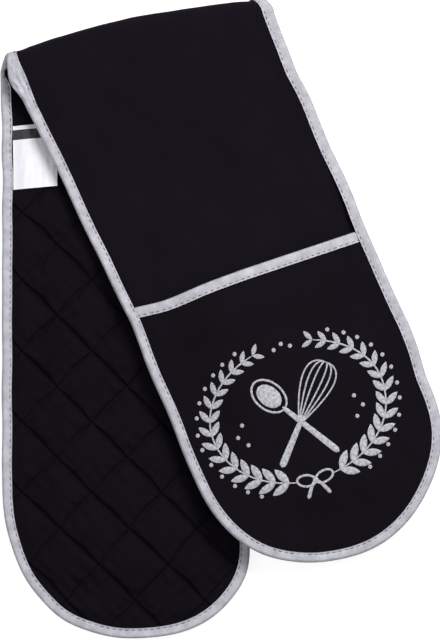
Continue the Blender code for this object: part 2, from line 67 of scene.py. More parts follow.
STRIP_WIDTH = 0.185
HALF_WIDTH = STRIP_WIDTH / 2
REAR_LENGTH = 0.442
FRONT_LENGTH = 0.418
FAN_ANGLE = math.radians(11.85)
REAR_LEAN_START = 0.335
REAR_LEAN_RUN = 0.070

FACE_THICKNESS = 0.0007
EDGE_WADDING = 0.0010
CROWN_WADDING = 0.0024
BACKING_THICKNESS = 0.0008
LAYER_GAP = 0.0003
BACKING_GAP = 0.0006
PILLOW_ROOM = 0.0018

ROLL_RADIUS = 0.010
ROLL_BOW = 0.008
ROLL_RUN = 0.0036
CORNER_REACH = 0.0042
CORNER_RISE = 0.0020
ROLL_LIFT_ANGLE = math.radians(45)
ROLL_FADE = 0.160
CREST = -ROLL_RADIUS * math.pi / 2

BINDING_WIDTH = 0.0076
TAPE_THICKNESS = 0.0007
BINDING_GAP = 0.0006
EDGE_INSET = TAPE_THICKNESS + BINDING_GAP
FLOOR_CLEARANCE = 0.0003
EDGE_LIFT = EDGE_INSET + FLOOR_CLEARANCE
EDGE_BAND = 1.4 * BINDING_WIDTH
CROWN_REACH = 0.27 * STRIP_WIDTH

POCKET_DEPTH = 0.2265
REAR_MOUTH = REAR_LENGTH - POCKET_DEPTH
FRONT_MOUTH = FRONT_LENGTH - POCKET_DEPTH
MOUTH_SLANT = 0.0078
POCKET_CLOTH = 0.0006
POCKET_EDGE_WADDING = 0.0008
POCKET_CROWN_WADDING = 0.0014
POCKET_LINING = 0.0006
SEAM_GAP = 0.0004
REAR_CAVITY = 0.0064
FRONT_CAVITY = 0.0068
MOUTH_ROOM = 0.0024
MOUTH_ROOM_HELD_SHARE = 0.35
MOUTH_TAPE_WIDTH = 0.0080
MOUTH_ROOM_REACH = 6 * MOUTH_TAPE_WIDTH

REST_GAP = 0.0020
OVERHANG_REACH = 0.090
OVERHANG_INSET = 0.015
RAMP_START = 0.085
ROLL_DESCENT = 0.115

CLOTH_PITCH = 0.0016
CLOTH_WAVE = 0.0013
CLOTH_WAVE_SIZE = 0.060
CLOTH_WAVE_STRETCH = 0.45
CLOTH_WAVE_SLANT = 0.2
CREASE = 0.0008
CREASE_SIZE = 0.021
ROLL_WAVE_SHARE = 0.35
UNDER_POCKET_WAVE_SHARE = 0.3
PUCKER = 0.00028
PUCKER_SIZE = 0.011
PUCKER_REACH = 0.009
PUCKER_START = 0.6
WAVE_COUNT = 7
WAVE_STRETCH = (0.7, 1.4)
WAVE_HEIGHT = 3
END_ROW_SHARE = 1.3
ALONG_CORRECTIONS = 8
SHARP_ANGLE = math.radians(60)
OUTLINE_POINTS = 181

# How far the sides stand out from a straight strip, by distance along. The front half spreads near the
# fold, its mouth draws the left side in, and its right side bows out as far as the middle of the pocket.
FRONT_LEFT_SIDE = ((0.0, 0.0030), (0.010, 0.0028), (0.030, 0.0041), (0.045, 0.0032), (0.065, 0.0019),
                   (0.129, 0.0003), (0.170, -0.0018), (0.195, -0.0028), (0.225, -0.0018), (0.260, -0.0006),
                   (0.290, 0.0))
FRONT_RIGHT_SIDE = ((0.0, 0.0044), (0.017, 0.0035), (0.036, 0.0032), (0.056, 0.0027), (0.076, 0.0034),
                    (0.116, 0.0037), (0.136, 0.0034), (0.176, 0.0042), (0.196, 0.0034), (0.235, 0.0025),
                    (0.275, 0.0038), (0.295, 0.0028), (0.315, 0.0006), (0.355, 0.0), (0.390, -0.0011),
                    (0.418, -0.0020))
REAR_LEFT_SIDE = ((0.0, 0.0010), (0.030, 0.0004), (0.090, -0.0005), (0.320, -0.0006), (0.350, -0.0011),
                  (0.380, -0.0014), (0.410, -0.0026), (0.442, -0.0022))
REAR_RIGHT_SIDE = ((0.0, 0.0), (0.310, 0.0), (0.345, -0.0034), (0.365, -0.0044), (0.385, -0.0034),
                   (0.405, -0.0016), (0.442, 0.0))

# How far a mouth hangs below its straight slant, by distance across.
FRONT_MOUTH_HANG = ((-0.0925, 0.0001), (-0.085, 0.0006), (-0.080, 0.0011), (-0.0703, 0.0021),
                    (-0.064, 0.0025), (-0.057, 0.0024), (-0.0511, 0.0021), (-0.0415, 0.0013),
                    (-0.033, 0.0006), (-0.024, 0.0001), (0.0, -0.0005), (0.030, -0.0003), (0.0925, 0.0))
REAR_MOUTH_HANG = ((-0.0925, 0.0), (0.0925, 0.0))

low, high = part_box("fold_face_cloth")
FOLD_PLACE = np.array(((low.x + high.x) / 2, high.y - ROLL_RADIUS, 0.0))


def smooth(x):
    """Ease from 0 to 1 with level ends."""
    x = np.clip(x, 0.0, 1.0)
    return x * x * (3 - 2 * x)


def bell(x):
    """1 at 0, falling smoothly to nothing on both sides."""
    return np.exp(-x ** 2)


def mix(a, b, share):
    return a + (b - a) * share


def looked_up(x, table):
    """Value at x in a table of places and values, straight between them."""
    return np.interp(x, *zip(*table))


class Half(SimpleNamespace):
    """One half of the strip: its outline, and where it lies."""

    def __init__(self, **values):
        super().__init__(**values)
        self.body = f"{self.name}_half"
        self.end_start = self.length - HALF_WIDTH
        self.angle = self.side * FAN_ANGLE

    def mouth_line(self, across):
        """Along of the lip of the pocket's mouth."""
        return self.mouth + self.slant * across / HALF_WIDTH + looked_up(across, self.mouth_hang)

    def lean_at(self, along):
        """How far the end has been pushed sideways."""
        return self.lean * smooth((along - REAR_LEAN_START) / REAR_LEAN_RUN)

    def edge_distance(self, across, along):
        """Distance in from the binding's outer edge."""
        past = np.maximum(along - self.end_start, 0.0) / HALF_WIDTH
        reach = (np.abs(across) / HALF_WIDTH) ** self.fullness + past ** self.fullness
        return HALF_WIDTH * (1 - reach ** (1 / self.fullness))

    def end_point(self, turn, inset):
        """Point on the rounded finger end, turned from the right side (0) to the left side (pi)."""
        radius = HALF_WIDTH - inset
        power = 2 / self.fullness
        across = np.copysign(radius * np.abs(np.cos(turn)) ** power, np.cos(turn))
        return across, self.end_start + radius * np.abs(np.sin(turn)) ** power

    def spread(self, across, along):
        """Sideways shift of a point that follows the shape of its side."""
        shift = np.where(across < 0, looked_up(along, self.left_side), looked_up(along, self.right_side))
        return shift * across / HALF_WIDTH

    def drop(self, across, along):
        """How far a point is moved down so that near the fold its row is parallel to the fold."""
        fade = 1 - smooth(along / ROLL_FADE)
        share = across / HALF_WIDTH
        return fade * (across * math.tan(self.angle) + ROLL_BOW * share * share / math.cos(self.angle))

    def along_at(self, across, down):
        """Along of the point that ends up that far down the half, found by repeated correction."""
        along = down
        for _ in range(ALONG_CORRECTIONS):
            along = down - self.drop(across, along)
        return along

    def plan(self, across, along):
        """Plan position of a point of the half."""
        stretch = self.stretch * smooth((along - self.end_start) / HALF_WIDTH)
        down = along + self.drop(across, along) + stretch
        across = across + self.lean_at(along) + self.spread(across, along)
        x = self.side * ROLL_RUN + across * math.cos(self.angle) + down * math.sin(self.angle)
        y = across * math.sin(self.angle) - down * math.cos(self.angle)
        return x, y

    def strip_coordinates(self, x, y):
        """Across and along for a plan position, away from the fold."""
        x = x - self.side * ROLL_RUN
        across = x * math.cos(self.angle) + y * math.sin(self.angle)
        along = x * math.sin(self.angle) - y * math.cos(self.angle)
        return across - self.lean_at(along), along


REAR = Half(name="rear", length=REAR_LENGTH, side=-1, mouth=REAR_MOUTH, fullness=2.25, stretch=0.0018,
            lean=0.006, slant=0.0, mouth_hang=REAR_MOUTH_HANG, left_side=REAR_LEFT_SIDE,
            right_side=REAR_RIGHT_SIDE)
FRONT = Half(name="front", length=FRONT_LENGTH, side=1, mouth=FRONT_MOUTH, fullness=2.0, stretch=-0.0016,
             lean=0.0, slant=MOUTH_SLANT, mouth_hang=FRONT_MOUTH_HANG, left_side=FRONT_LEFT_SIDE,
             right_side=FRONT_RIGHT_SIDE)
HALVES = (REAR, FRONT)


def crown(half, across, along):
    return smooth((half.edge_distance(across, along) - EDGE_BAND) / CROWN_REACH)


def edge_lift(half, across, along):
    """The strip rides on its own binding at the edges."""
    distance = half.edge_distance(across, along)
    return EDGE_LIFT * (1 - smooth((distance - EDGE_BAND) / (2 * EDGE_BAND)))


def wadding_thickness(half, across, along):
    return mix(EDGE_WADDING, CROWN_WADDING, crown(half, across, along))


def strip_thickness(half, across, along):
    """From the face cloth to the quilting seams of the backing."""
    wadding = wadding_thickness(half, across, along)
    return FACE_THICKNESS + LAYER_GAP + wadding + BACKING_GAP + BACKING_THICKNESS


def pocket_thickness(half, across, along):
    wadding = mix(POCKET_EDGE_WADDING, POCKET_CROWN_WADDING, crown(half, across, along))
    return POCKET_CLOTH + LAYER_GAP + wadding + LAYER_GAP + POCKET_LINING


def cavity(half, across, along, height):
    return mix(SEAM_GAP, height, crown(half, across, along))


def mouth_room(half, across, along):
    """Extra height that the tape round the mouth takes up, pressed flat where the binding holds it."""
    past_tape = (along - half.mouth_line(across) - MOUTH_TAPE_WIDTH) / MOUTH_ROOM_REACH
    free = smooth((half.edge_distance(across, along) - BINDING_WIDTH) / BINDING_WIDTH)
    return MOUTH_ROOM * (1 - smooth(past_tape)) * mix(MOUTH_ROOM_HELD_SHARE, 1.0, free)


def rear_pocket_zone(along):
    return smooth((along - RAMP_START) / (REAR_MOUTH - RAMP_START))


def rear_face_height(across, along):
    """Underside of the rear half's face cloth: on the table near the fold, over the pocket at the end."""
    flat = edge_lift(REAR, across, along)
    over = flat + pocket_thickness(REAR, across, along) + cavity(REAR, across, along, REAR_CAVITY)
    over = over + mouth_room(REAR, across, along)
    return mix(flat, over, rear_pocket_zone(along))


REAR_TOP_FLAT = (EDGE_LIFT + FACE_THICKNESS + LAYER_GAP + CROWN_WADDING + BACKING_GAP + BACKING_THICKNESS
                 + PILLOW_ROOM)
REAR_TOP_POCKET = (REAR_TOP_FLAT + REAR_CAVITY + MOUTH_ROOM + POCKET_CLOTH + POCKET_CROWN_WADDING
                   + POCKET_LINING + 2 * LAYER_GAP)


def support_height(x, y):
    """Height of what the front half lies on: the rear half, then a slope down to the table."""
    across, along = REAR.strip_coordinates(x, y)
    top = mix(REAR_TOP_FLAT, REAR_TOP_POCKET, rear_pocket_zone(along))
    distance = REAR.edge_distance(across, np.maximum(along, 0.0))
    return top * smooth((distance + OVERHANG_REACH - OVERHANG_INSET) / OVERHANG_REACH)


def front_face_height(across, along):
    """Top of the front half's face cloth."""
    bottom = support_height(*FRONT.plan(across, along)) + REST_GAP
    top = bottom + PILLOW_ROOM + edge_lift(FRONT, across, along) + strip_thickness(FRONT, across, along)
    return mix(2 * ROLL_RADIUS, top, smooth(along / ROLL_DESCENT))


def roll_point(across, angle, depth):
    """Point on the fold roll, turned from its underside (0) over its crest to its top (pi)."""
    share = across / HALF_WIDTH
    run = ROLL_RUN + ROLL_BOW * share * share * math.tan(FAN_ANGLE)
    corner = np.maximum(share, 0.0) ** 4 * np.sin(angle)
    x = across / math.cos(FAN_ANGLE) + run * (2 * angle / math.pi - 1) + CORNER_REACH * corner
    radius = ROLL_RADIUS - depth
    y = radius * np.sin(angle) - ROLL_BOW * share * share + CORNER_RISE * corner
    return x, y, ROLL_RADIUS - radius * np.cos(angle)


def strip_point(half, across, along, depth):
    """Place of a point of the strip. Along is negative on the roll, where it counts the arc."""
    flat = np.maximum(along, 0.0)
    turned = np.maximum(-along, 0.0) / ROLL_RADIUS
    x, y = half.plan(across, flat)
    to_crest = 1 - smooth(turned / (math.pi / 2))
    bent_across = across + half.spread(across, 0.0) * to_crest
    if half is REAR:
        z = rear_face_height(across, flat) + depth
        bent = list(roll_point(bent_across, turned, depth))
        eased = np.minimum(turned / ROLL_LIFT_ANGLE, 1.0)
        bent[2] = bent[2] + edge_lift(REAR, across, 0.0 * across) * (1 + np.cos(math.pi * eased)) / 2
    else:
        z = front_face_height(across, flat) - depth
        bent = roll_point(bent_across, math.pi - turned, depth)
    on_roll = (along < 0)[..., None]
    return np.where(on_roll, np.stack(bent, -1), np.stack((x, y, z), -1)) + FOLD_PLACE


def waves(across, along, size, seed):
    """Soft random waves of about that size and a height of about 1: the sum of a few plane waves."""
    random = np.random.default_rng(seed)
    total = np.zeros(np.shape(across + along))
    least = (0, 0, WAVE_STRETCH[0])
    most = (math.pi, 2 * math.pi, WAVE_STRETCH[1])
    for turn, phase, stretch in random.uniform(least, most, (WAVE_COUNT, 3)):
        run = across * math.cos(turn) + along * math.sin(turn)
        total += np.sin(2 * math.pi * run / (size * stretch) + phase)
    return total / WAVE_HEIGHT


def puckers(half, across, along, seed):
    """Small gathers where the stitching of the binding holds the cloth, fading out under the tape."""
    past = half.edge_distance(across, np.maximum(along, 0.0)) - BINDING_WIDTH
    held = bell(np.maximum(past, 0.0) / PUCKER_REACH) * smooth(2 * past / BINDING_WIDTH + PUCKER_START)
    return PUCKER * held * waves(across, along, PUCKER_SIZE, seed)


def end_rows(half, inset, pitch):
    """Half widths and alongs of the rows that fill the rounded end."""
    count = round(END_ROW_SHARE * (HALF_WIDTH - inset) / pitch)
    return half.end_point(np.linspace(0, math.pi / 2, count + 1)[1:-1], inset)


def row_shares(side, pitch):
    return np.linspace(-1, 1, 2 * round(side / pitch) + 1)


def strip_grid(half, pitch):
    """Grid of points, across and along, that fills one half from the fold's crest to its rounded end."""
    inset = EDGE_INSET + TAPE_THICKNESS / 2
    side = HALF_WIDTH - inset
    straight = np.linspace(CREST, half.end_start, round((half.end_start - CREST) / pitch) + 1)
    widths, tops = end_rows(half, inset, pitch)
    rows = np.concatenate((straight, tops))
    reach = np.concatenate((np.full(len(straight), side), widths))
    shares = row_shares(side, pitch)
    return reach[:, None] * shares, rows[:, None] + 0.0 * shares


def piece_from(name, points, faces, uv, material):
    """Make a mesh object from points, faces of 4 corners and one UV pair for each point."""
    mesh = bpy.data.meshes.new(name)
    mesh.vertices.add(len(points))
    mesh.vertices.foreach_set("co", np.ascontiguousarray(points, np.float32).ravel())
    mesh.loops.add(faces.size)
    mesh.loops.foreach_set("vertex_index", faces.ravel().astype(np.int32))
    mesh.polygons.add(len(faces))
    mesh.polygons.foreach_set("loop_start", np.arange(0, faces.size, 4, dtype=np.int32))
    mesh.polygons.foreach_set("use_smooth", np.ones(len(faces), bool))
    mesh.update(calc_edges=True)
    mesh.set_sharp_from_angle(angle=SHARP_ANGLE)
    mesh.uv_layers.new(name="cloth").data.foreach_set("uv", uv[faces.ravel()].astype(np.float32).ravel())
    mesh.materials.append(material)
    mesh.validate()
    return in_scene(bpy.data.objects.new(name, mesh))


def in_scene(made):
    bpy.context.scene.collection.objects.link(made)
    return made


def grid_faces(rows, columns, closed=False):
    """Corner numbers of the faces of a grid. A closed grid joins its last column to its first."""
    i = np.arange(rows - 1)[:, None]
    j = np.arange(columns if closed else columns - 1)
    following = (j + 1) % columns
    here = i * columns
    above = here + columns
    return np.stack((here + j, here + following, above + following, above + j), -1).reshape(-1, 4)


def outward(points, faces):
    """Turn the faces of a closed shell so that they point out."""
    a, b, c, d = (points[faces[:, k]] for k in range(4))
    volume = np.einsum("ij,ij->", np.cross(a, b), c) + np.einsum("ij,ij->", np.cross(a, c), d)
    return faces if volume > 0 else faces[:, ::-1]


def layer(name, across, along, outer, inner, material):
    """Closed layer of cloth or padding between two surfaces sampled on the same grid."""
    rows, columns = across.shape
    count = rows * columns
    points = np.concatenate((outer.reshape(-1, 3), inner.reshape(-1, 3)))
    rim = np.concatenate((np.arange(columns), np.arange(1, rows) * columns + columns - 1,
                          np.arange(columns - 2, -1, -1) + (rows - 1) * columns,
                          np.arange(rows - 2, 0, -1) * columns))
    following = np.roll(rim, -1)
    sides = np.stack((rim, following, following + count, rim + count), -1)
    top = grid_faces(rows, columns)
    faces = np.concatenate((top, top[:, ::-1] + count, sides[:, ::-1]))
    uv = np.tile(np.stack((across.ravel(), along.ravel()), -1), (2, 1))
    return piece_from(name, points, outward(points - points.mean(0), faces), uv, material)


def linear(code):
    """Linear colour from an sRGB hex value."""
    shares = [int(code[i:i + 2], 16) / 255 for i in (1, 3, 5)]
    return (*[c / 12.92 if c <= 0.04045 else ((c + 0.055) / 1.055) ** 2.4 for c in shares], 1.0)


def add_node(tree, kind, inputs=None, **settings):
    """Add one node. Inputs are values or the sockets that feed them."""
    made = tree.nodes.new(kind)
    for name, value in settings.items():
        setattr(made, name, value)
    for name, value in (inputs or {}).items():
        if isinstance(value, bpy.types.NodeSocket):
            tree.links.new(value, made.inputs[name])
        else:
            made.inputs[name].default_value = value
    return made


def result_of(tree, operation, *values, kind="ShaderNodeMath", output=0, **settings):
    """Result of one sum on values or sockets."""
    return add_node(tree, kind, dict(enumerate(values)), operation=operation, **settings).outputs[output]


class Surface:
    """A material in the making: its shader, its nodes, and the place on the flat cloth or in the object."""

    def __init__(self, name, in_object=False, **shader_values):
        self.material = bpy.data.materials.new(name)
        self.material.use_nodes = True
        self.tree = self.material.node_tree
        self.shader = self.tree.nodes["Principled BSDF"]
        for socket, value in shader_values.items():
            self.shader.inputs[socket.replace("_", " ")].default_value = value
        if in_object:
            self.place = add_node(self.tree, "ShaderNodeTexCoord").outputs["Object"]
        else:
            self.place = add_node(self.tree, "ShaderNodeUVMap", uv_map="cloth").outputs["UV"]

    def noise(self, density, detail, **inputs):
        """Random patches from 0 to 1, that many to a metre."""
        inputs = {"Vector": self.place, "Scale": density, "Detail": detail, **inputs}
        return add_node(self.tree, "ShaderNodeTexNoise", inputs).outputs["Fac"]

    def scaled(self, value, scale, plus=0.0, clamp=False):
        return result_of(self.tree, "MULTIPLY_ADD", value, scale, plus, use_clamp=clamp)

    def run(self, direction):
        """Distance along a direction, in its own unit."""
        return result_of(self.tree, "DOT_PRODUCT", self.place, direction, kind="ShaderNodeVectorMath",
                         output="Value")

    def ridges(self, pitch, turn):
        """Height from 0 to 1 of ridges that pitch apart, at a turn from the cloth's length."""
        count = 2 * math.pi / pitch
        run = self.run((math.cos(turn) * count, math.sin(turn) * count, 0.0))
        return self.scaled(result_of(self.tree, "SINE", run), 0.5, plus=0.5)

    def between(self, share, first, second):
        """Colour between two, each a hex value or the socket that gives it."""
        ends = [linear(end) if isinstance(end, str) else end for end in (first, second)]
        return add_node(self.tree, "ShaderNodeMix", {"Factor": share, "A": ends[0], "B": ends[1]},
                        data_type="RGBA").outputs["Result"]

    def paint(self, share, first, second):
        self.tree.links.new(self.between(share, first, second), self.shader.inputs["Base Color"])

    def emboss(self, height, distance, **inputs):
        relief = add_node(self.tree, "ShaderNodeBump", {"Height": height, "Distance": distance, **inputs})
        self.tree.links.new(relief.outputs["Normal"], self.shader.inputs["Normal"])

    def given(self, name):
        """The socket that feeds an input of the shader so far."""
        return self.shader.inputs[name].links[0].from_socket


WRINKLE_TURN = math.radians(-25)
WRINKLE_DENSITY = 60.0
TWILL_TURN = math.radians(60)
CROSS_THREAD_TURN = math.radians(-12)


def woven_cloth(name, dark, light, thread, bump, wrinkle, roughness=0.9, specular=0.07):
    """Dyed cotton: two shades that vary softly, the diagonal ridges of a twill, and fine wrinkles."""
    cloth = Surface(name, Roughness=roughness, Specular_IOR_Level=specular)
    lint = cloth.noise(density=900.0, detail=2.0)
    shade = cloth.scaled(cloth.noise(density=32.0, detail=3.0), 0.6, plus=-0.15)
    cloth.paint(cloth.scaled(lint, 0.8, plus=shade, clamp=True), dark, light)
    ridges = cloth.ridges(thread, TWILL_TURN)
    weave = cloth.scaled(ridges, cloth.ridges(thread, CROSS_THREAD_TURN), plus=ridges)
    rough = cloth.scaled(lint, bump, plus=cloth.scaled(weave, bump / 2))
    drawn = add_node(cloth.tree, "ShaderNodeMapping",
                     {"Vector": cloth.place, "Rotation": (0.0, 0.0, WRINKLE_TURN),
                      "Scale": (WRINKLE_DENSITY, WRINKLE_DENSITY / 2, 1.0)})
    wrinkles = cloth.noise(density=1.0, detail=2.0, Vector=drawn.outputs["Vector"], Distortion=0.6)
    cloth.emboss(cloth.scaled(wrinkles, wrinkle, plus=rough), distance=1.0, Strength=0.8)
    return cloth


# Twill weave has threads 0.5 mm apart, drawn 1.2 mm apart so that it shows at the size of the picture.
black_twill = woven_cloth("black_cotton_twill", "#0B080E", "#16101A", thread=0.0012, bump=0.00012,
                          wrinkle=0.0011).material


def face_relief(half, across, along, seed):
    """The cloth lies in soft waves along the strip with a few creases, and gathers along its binding."""
    lying = smooth(half.edge_distance(across, np.maximum(along, 0.0)) / EDGE_BAND - 1)
    lying = lying * mix(ROLL_WAVE_SHARE, 1.0, smooth(0.5 + along / (2 * ROLL_RADIUS)))
    under_pocket = smooth((along - half.mouth_line(across)) / MOUTH_TAPE_WIDTH)
    lying = lying * mix(1.0, UNDER_POCKET_WAVE_SHARE, under_pocket)
    slanted = across + CLOTH_WAVE_SLANT * along
    leant = along * CLOTH_WAVE_STRETCH
    wave = CLOTH_WAVE * (1 + waves(slanted, leant, CLOTH_WAVE_SIZE, seed)) / 2
    crease = CREASE * (1 + waves(slanted, leant, CREASE_SIZE, seed + 2)) / 2
    return lying * (wave + crease) + puckers(half, across, along, seed + 1)


def bend_with_fold(piece):
    """Cloth that runs round the fold is kept where it was made, its placement baked into its points."""
    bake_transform(piece)


def cut_area(half):
    """Flat area of one half as it was cut, with its quarter of the roll."""
    across, along = half.end_point(np.linspace(0, math.pi, OUTLINE_POINTS), EDGE_INSET)
    side = HALF_WIDTH - EDGE_INSET
    across = np.concatenate((across, (-side, side)))
    along = np.concatenate((along, (CREST, CREST)))
    return abs(np.sum(across * np.roll(along, -1) - along * np.roll(across, -1))) / 2


def strip_layer(half, name, stands_for, grid, outer, inner, material):
    """One layer of the strip on one half, between two depths."""
    outer = strip_point(half, *grid, outer)
    inner = strip_point(half, *grid, inner)
    piece = layer(f"{half.name}_{name}", *grid, outer, inner, material)
    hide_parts(f"{half.name}_{stands_for}", f"fold_{stands_for}")
    bend_with_fold(piece)
    return piece


def as_strip_sheet(piece, half):
    cut_area(half)


for half in HALVES:
    grid = strip_grid(half, CLOTH_PITCH)
    relief = 0.0 if half is REAR else -face_relief(half, *grid, seed=21)
    as_strip_sheet(strip_layer(half, "face_twill", "face_cloth", grid, relief, relief + FACE_THICKNESS,
                               black_twill), half)


# Wadding
# White polyester batting between the two cloths of the strip, thin under the binding and full in the
# middle. The quilting stitches hold it, and only an open seam would show it.

WADDING_PITCH = 0.005
WADDING_CLEARANCE = 0.00012


def batting(name):
    """Loose white fibre: matt, with a soft clumped relief."""
    fibre = Surface(name, in_object=True, Roughness=0.95, Specular_IOR_Level=0.1,
                    Base_Color=linear("#DCD9D2"))
    fibre.emboss(fibre.noise(density=260.0, detail=6.0), distance=0.0015)
    return fibre.material


white_batting = batting("white_polyester_batting")

for half in HALVES:
    grid = strip_grid(half, WADDING_PITCH)
    top = FACE_THICKNESS + WADDING_CLEARANCE + PUCKER
    thickness = wadding_thickness(half, grid[0], np.maximum(grid[1], 0.0))
    strip_layer(half, "padding", "wadding", grid, top, FACE_THICKNESS + LAYER_GAP + thickness,
                          white_batting)


# Quilted backing
# Black cotton, the side that faces the hands' backs, sewn through the wadding along two sets of slanting
# seams. The seams draw it down into squares that stand on their corners, 52 mm from corner to corner.

QUILT_DIAMOND = 0.0519
QUILT_FIRST_CROSSING = -0.0004
QUILT_PUFF = 0.0028
QUILT_FULLNESS = 0.55
QUILT_ROLL_SHARE = 0.35
QUILT_ROLL_START = 0.5
QUILT_GATHER = 0.0009
QUILT_GATHER_SIZE = 0.0110
QUILT_GATHER_REACH = 0.013
QUILT_GATHER_STRETCH = 0.2
QUILT_GATHER_ONSET = 3
# Two sets of seams. Besides their embossed relief, the deep set is painted with darker shade than the faint
# set.
DEEP_SEAM_SIDE = -1
DEEP_SEAM_WIDTH = 0.0042
DEEP_SEAM_DEPTH = 0.0022
FAINT_SEAM_WIDTH = 0.0038
FAINT_SEAM_DEPTH = 0.0014
SEAM_WAIST = 0.4
SEAM_UNEVENNESS = 0.06
SEAM_START = 0.4 * SEAM_UNEVENNESS


def quilt_relief(half, across, along, seed):
    """Height of the backing over its seams, with the small gathers that cross them."""
    run = (along - QUILT_FIRST_CROSSING) / QUILT_DIAMOND
    first = run + across / QUILT_DIAMOND
    second = run - across / QUILT_DIAMOND
    arch = np.abs(np.sin(math.pi * first) * np.sin(math.pi * second)) ** QUILT_FULLNESS
    from_edge = smooth((half.edge_distance(across, np.maximum(along, 0.0)) - BINDING_WIDTH) / EDGE_BAND)
    roll = mix(QUILT_ROLL_SHARE, 1.0, smooth(along / ROLL_RADIUS - QUILT_ROLL_START))
    gathers = np.zeros(np.shape(along))
    for place, other in ((first, second), (second, first)):
        seam = np.abs(place - np.round(place)) * QUILT_DIAMOND / math.sqrt(2)
        held = bell(seam / QUILT_GATHER_REACH) * smooth(seam / QUILT_GATHER_REACH * QUILT_GATHER_ONSET)
        gathers += held * waves(other * QUILT_DIAMOND, place * QUILT_DIAMOND * QUILT_GATHER_STRETCH,
                                QUILT_GATHER_SIZE, seed)
    return from_edge * roll * (QUILT_PUFF * arch + QUILT_GATHER * gathers)


def quilted_cloth(name):
    """The same dyed cotton in a darker shade, with sunk seams that are widest between the crossings. The
    darker shade and the seams' dark bands are painted shade.
    """
    # Painted shade: the lighter end is darker than the face twill's, for the rear half's quilting that lies
    # under the front half.
    cloth = woven_cloth(name, "#0B080E", "#120D15", thread=0.0012, bump=0.00010, wrinkle=0.0026)
    uneven = cloth.noise(density=75.0, detail=2.0)
    away_from = {}
    for side in (DEEP_SEAM_SIDE, -DEEP_SEAM_SIDE):
        run = cloth.run((side / QUILT_DIAMOND, 1 / QUILT_DIAMOND, 0.0))
        run = result_of(cloth.tree, "SUBTRACT", run, QUILT_FIRST_CROSSING / QUILT_DIAMOND)
        away_from[side] = result_of(cloth.tree, "PINGPONG", run, 0.5)
    # Painted shade along each seam's sunk band, darker on the deep set; the same band is also embossed as
    # real relief.
    for side, width, depth, shade in ((DEEP_SEAM_SIDE, DEEP_SEAM_WIDTH, DEEP_SEAM_DEPTH, "#0B080F"),
                                      (-DEEP_SEAM_SIDE, FAINT_SEAM_WIDTH, FAINT_SEAM_DEPTH, "#0F0B13")):
        share = width * math.sqrt(2) / QUILT_DIAMOND
        away = cloth.scaled(uneven, SEAM_UNEVENNESS, away_from[side])
        reach = cloth.scaled(away_from[-side], 2 * (1 - SEAM_WAIST) * share,
                             SEAM_WAIST * share + SEAM_START)
        sunk = add_node(cloth.tree, "ShaderNodeMapRange",
                        {"Value": away, "From Min": SEAM_START, "From Max": reach},
                        interpolation_type="SMOOTHSTEP").outputs["Result"]
        cloth.paint(sunk, shade, cloth.given("Base Color"))
        cloth.emboss(sunk, depth, Normal=cloth.given("Normal"))
    return cloth.material


black_quilt = quilted_cloth("black_quilted_cotton")

for half in HALVES:
    grid = strip_grid(half, CLOTH_PITCH)
    top = strip_thickness(half, grid[0], np.maximum(grid[1], 0.0))
    top = top + quilt_relief(half, *grid, seed=36 + 5 * half.side)
    as_strip_sheet(strip_layer(half, "quilt", "quilted_backing", grid, top, top - BACKING_THICKNESS,
                               black_quilt), half)


# Pockets
# Each hand pocket is three more layers laid on the face cloth at a finger end: black twill, a thinner
# wadding and a black lining. Binding holds them round the end and the sides, and the mouth stays open.
# The front pocket's layers are cut at their centre line into a left and a right piece.

POCKET_PITCH = 0.0016
POCKET_INSET = 0.0030
POCKET_WAVE = 0.0012
POCKET_WAVE_SIZE = 0.075


def pocket_grid(half, pitch):
    """Grid of points of a pocket. Its rows turn from the slant of the mouth to straight across."""
    side = HALF_WIDTH - POCKET_INSET
    count = round((half.end_start - half.mouth) / pitch)
    shares = row_shares(side, pitch)
    across = np.broadcast_to(side * shares, (count + 1, len(shares)))
    run = np.linspace(0, 1, count + 1)[:, None]
    along = mix(half.mouth_line(across) + EDGE_INSET, half.end_start, run)
    widths, tops = end_rows(half, POCKET_INSET, pitch)
    across = np.concatenate((across, widths[:, None] * shares))
    return across, np.concatenate((along, tops[:, None] + 0.0 * shares))


def pocket_point(half, across, along, depth):
    """Place of a point of a pocket, depth in from its outer cloth."""
    x, y = half.plan(across, along)
    if half is REAR:
        mouth = EDGE_LIFT * (1 - smooth((along - REAR_MOUTH - MOUTH_TAPE_WIDTH) / (2 * MOUTH_TAPE_WIDTH)))
        z = np.maximum(edge_lift(REAR, across, along), mouth) + depth
    else:
        room = cavity(FRONT, across, along, FRONT_CAVITY) + mouth_room(FRONT, across, along)
        z = front_face_height(across, along) + room + pocket_thickness(FRONT, across, along) - depth
    return np.stack((x, y, z), -1) + FOLD_PLACE


def pocket_relief(across, along):
    """The front pocket is softly uneven, and gathers along its binding."""
    lying = smooth(FRONT.edge_distance(across, along) / EDGE_BAND - 1)
    broad = POCKET_WAVE * (1 + waves(across, along, POCKET_WAVE_SIZE, seed=51)) / 2
    below_mouth = smooth((along - FRONT.mouth_line(across) - MOUTH_TAPE_WIDTH) / (3 * MOUTH_TAPE_WIDTH))
    return below_mouth * (lying * broad + puckers(FRONT, across, along, seed=52))


def move_with_pocket(piece, side):
    """A whole piece of the rear pocket (0) stays with its half. A left (-1) or right (1) part of the front
    pocket is kept where it was made, its placement baked into its points.
    """
    if side == 0:
        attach(piece, "rear_half")
        return
    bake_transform(piece)


def pocket_parts(half, count):
    """Side, ending of the name and columns of the parts that a pocket's layers are made in."""
    middle = count // 2
    if half is REAR:
        return ((0, "", slice(None)),)
    return ((-1, "_left", slice(0, middle + 1)), (1, "_right", slice(middle, None)))


def pocket_layer(half, name, stands_for, grid, outer, inner, material):
    """One layer of a pocket between two depths, in its parts."""
    outer = pocket_point(half, *grid, outer)
    inner = pocket_point(half, *grid, inner)
    parts = []
    for side, ending, columns in pocket_parts(half, grid[0].shape[1]):
        piece = layer(f"{half.name}_pocket_{name}{ending}", grid[0][:, columns], grid[1][:, columns],
                      outer[:, columns], inner[:, columns], material)
        move_with_pocket(piece, side)
        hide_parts(f"{half.name}_pocket_{stands_for}")
        parts.append(piece)
    return parts
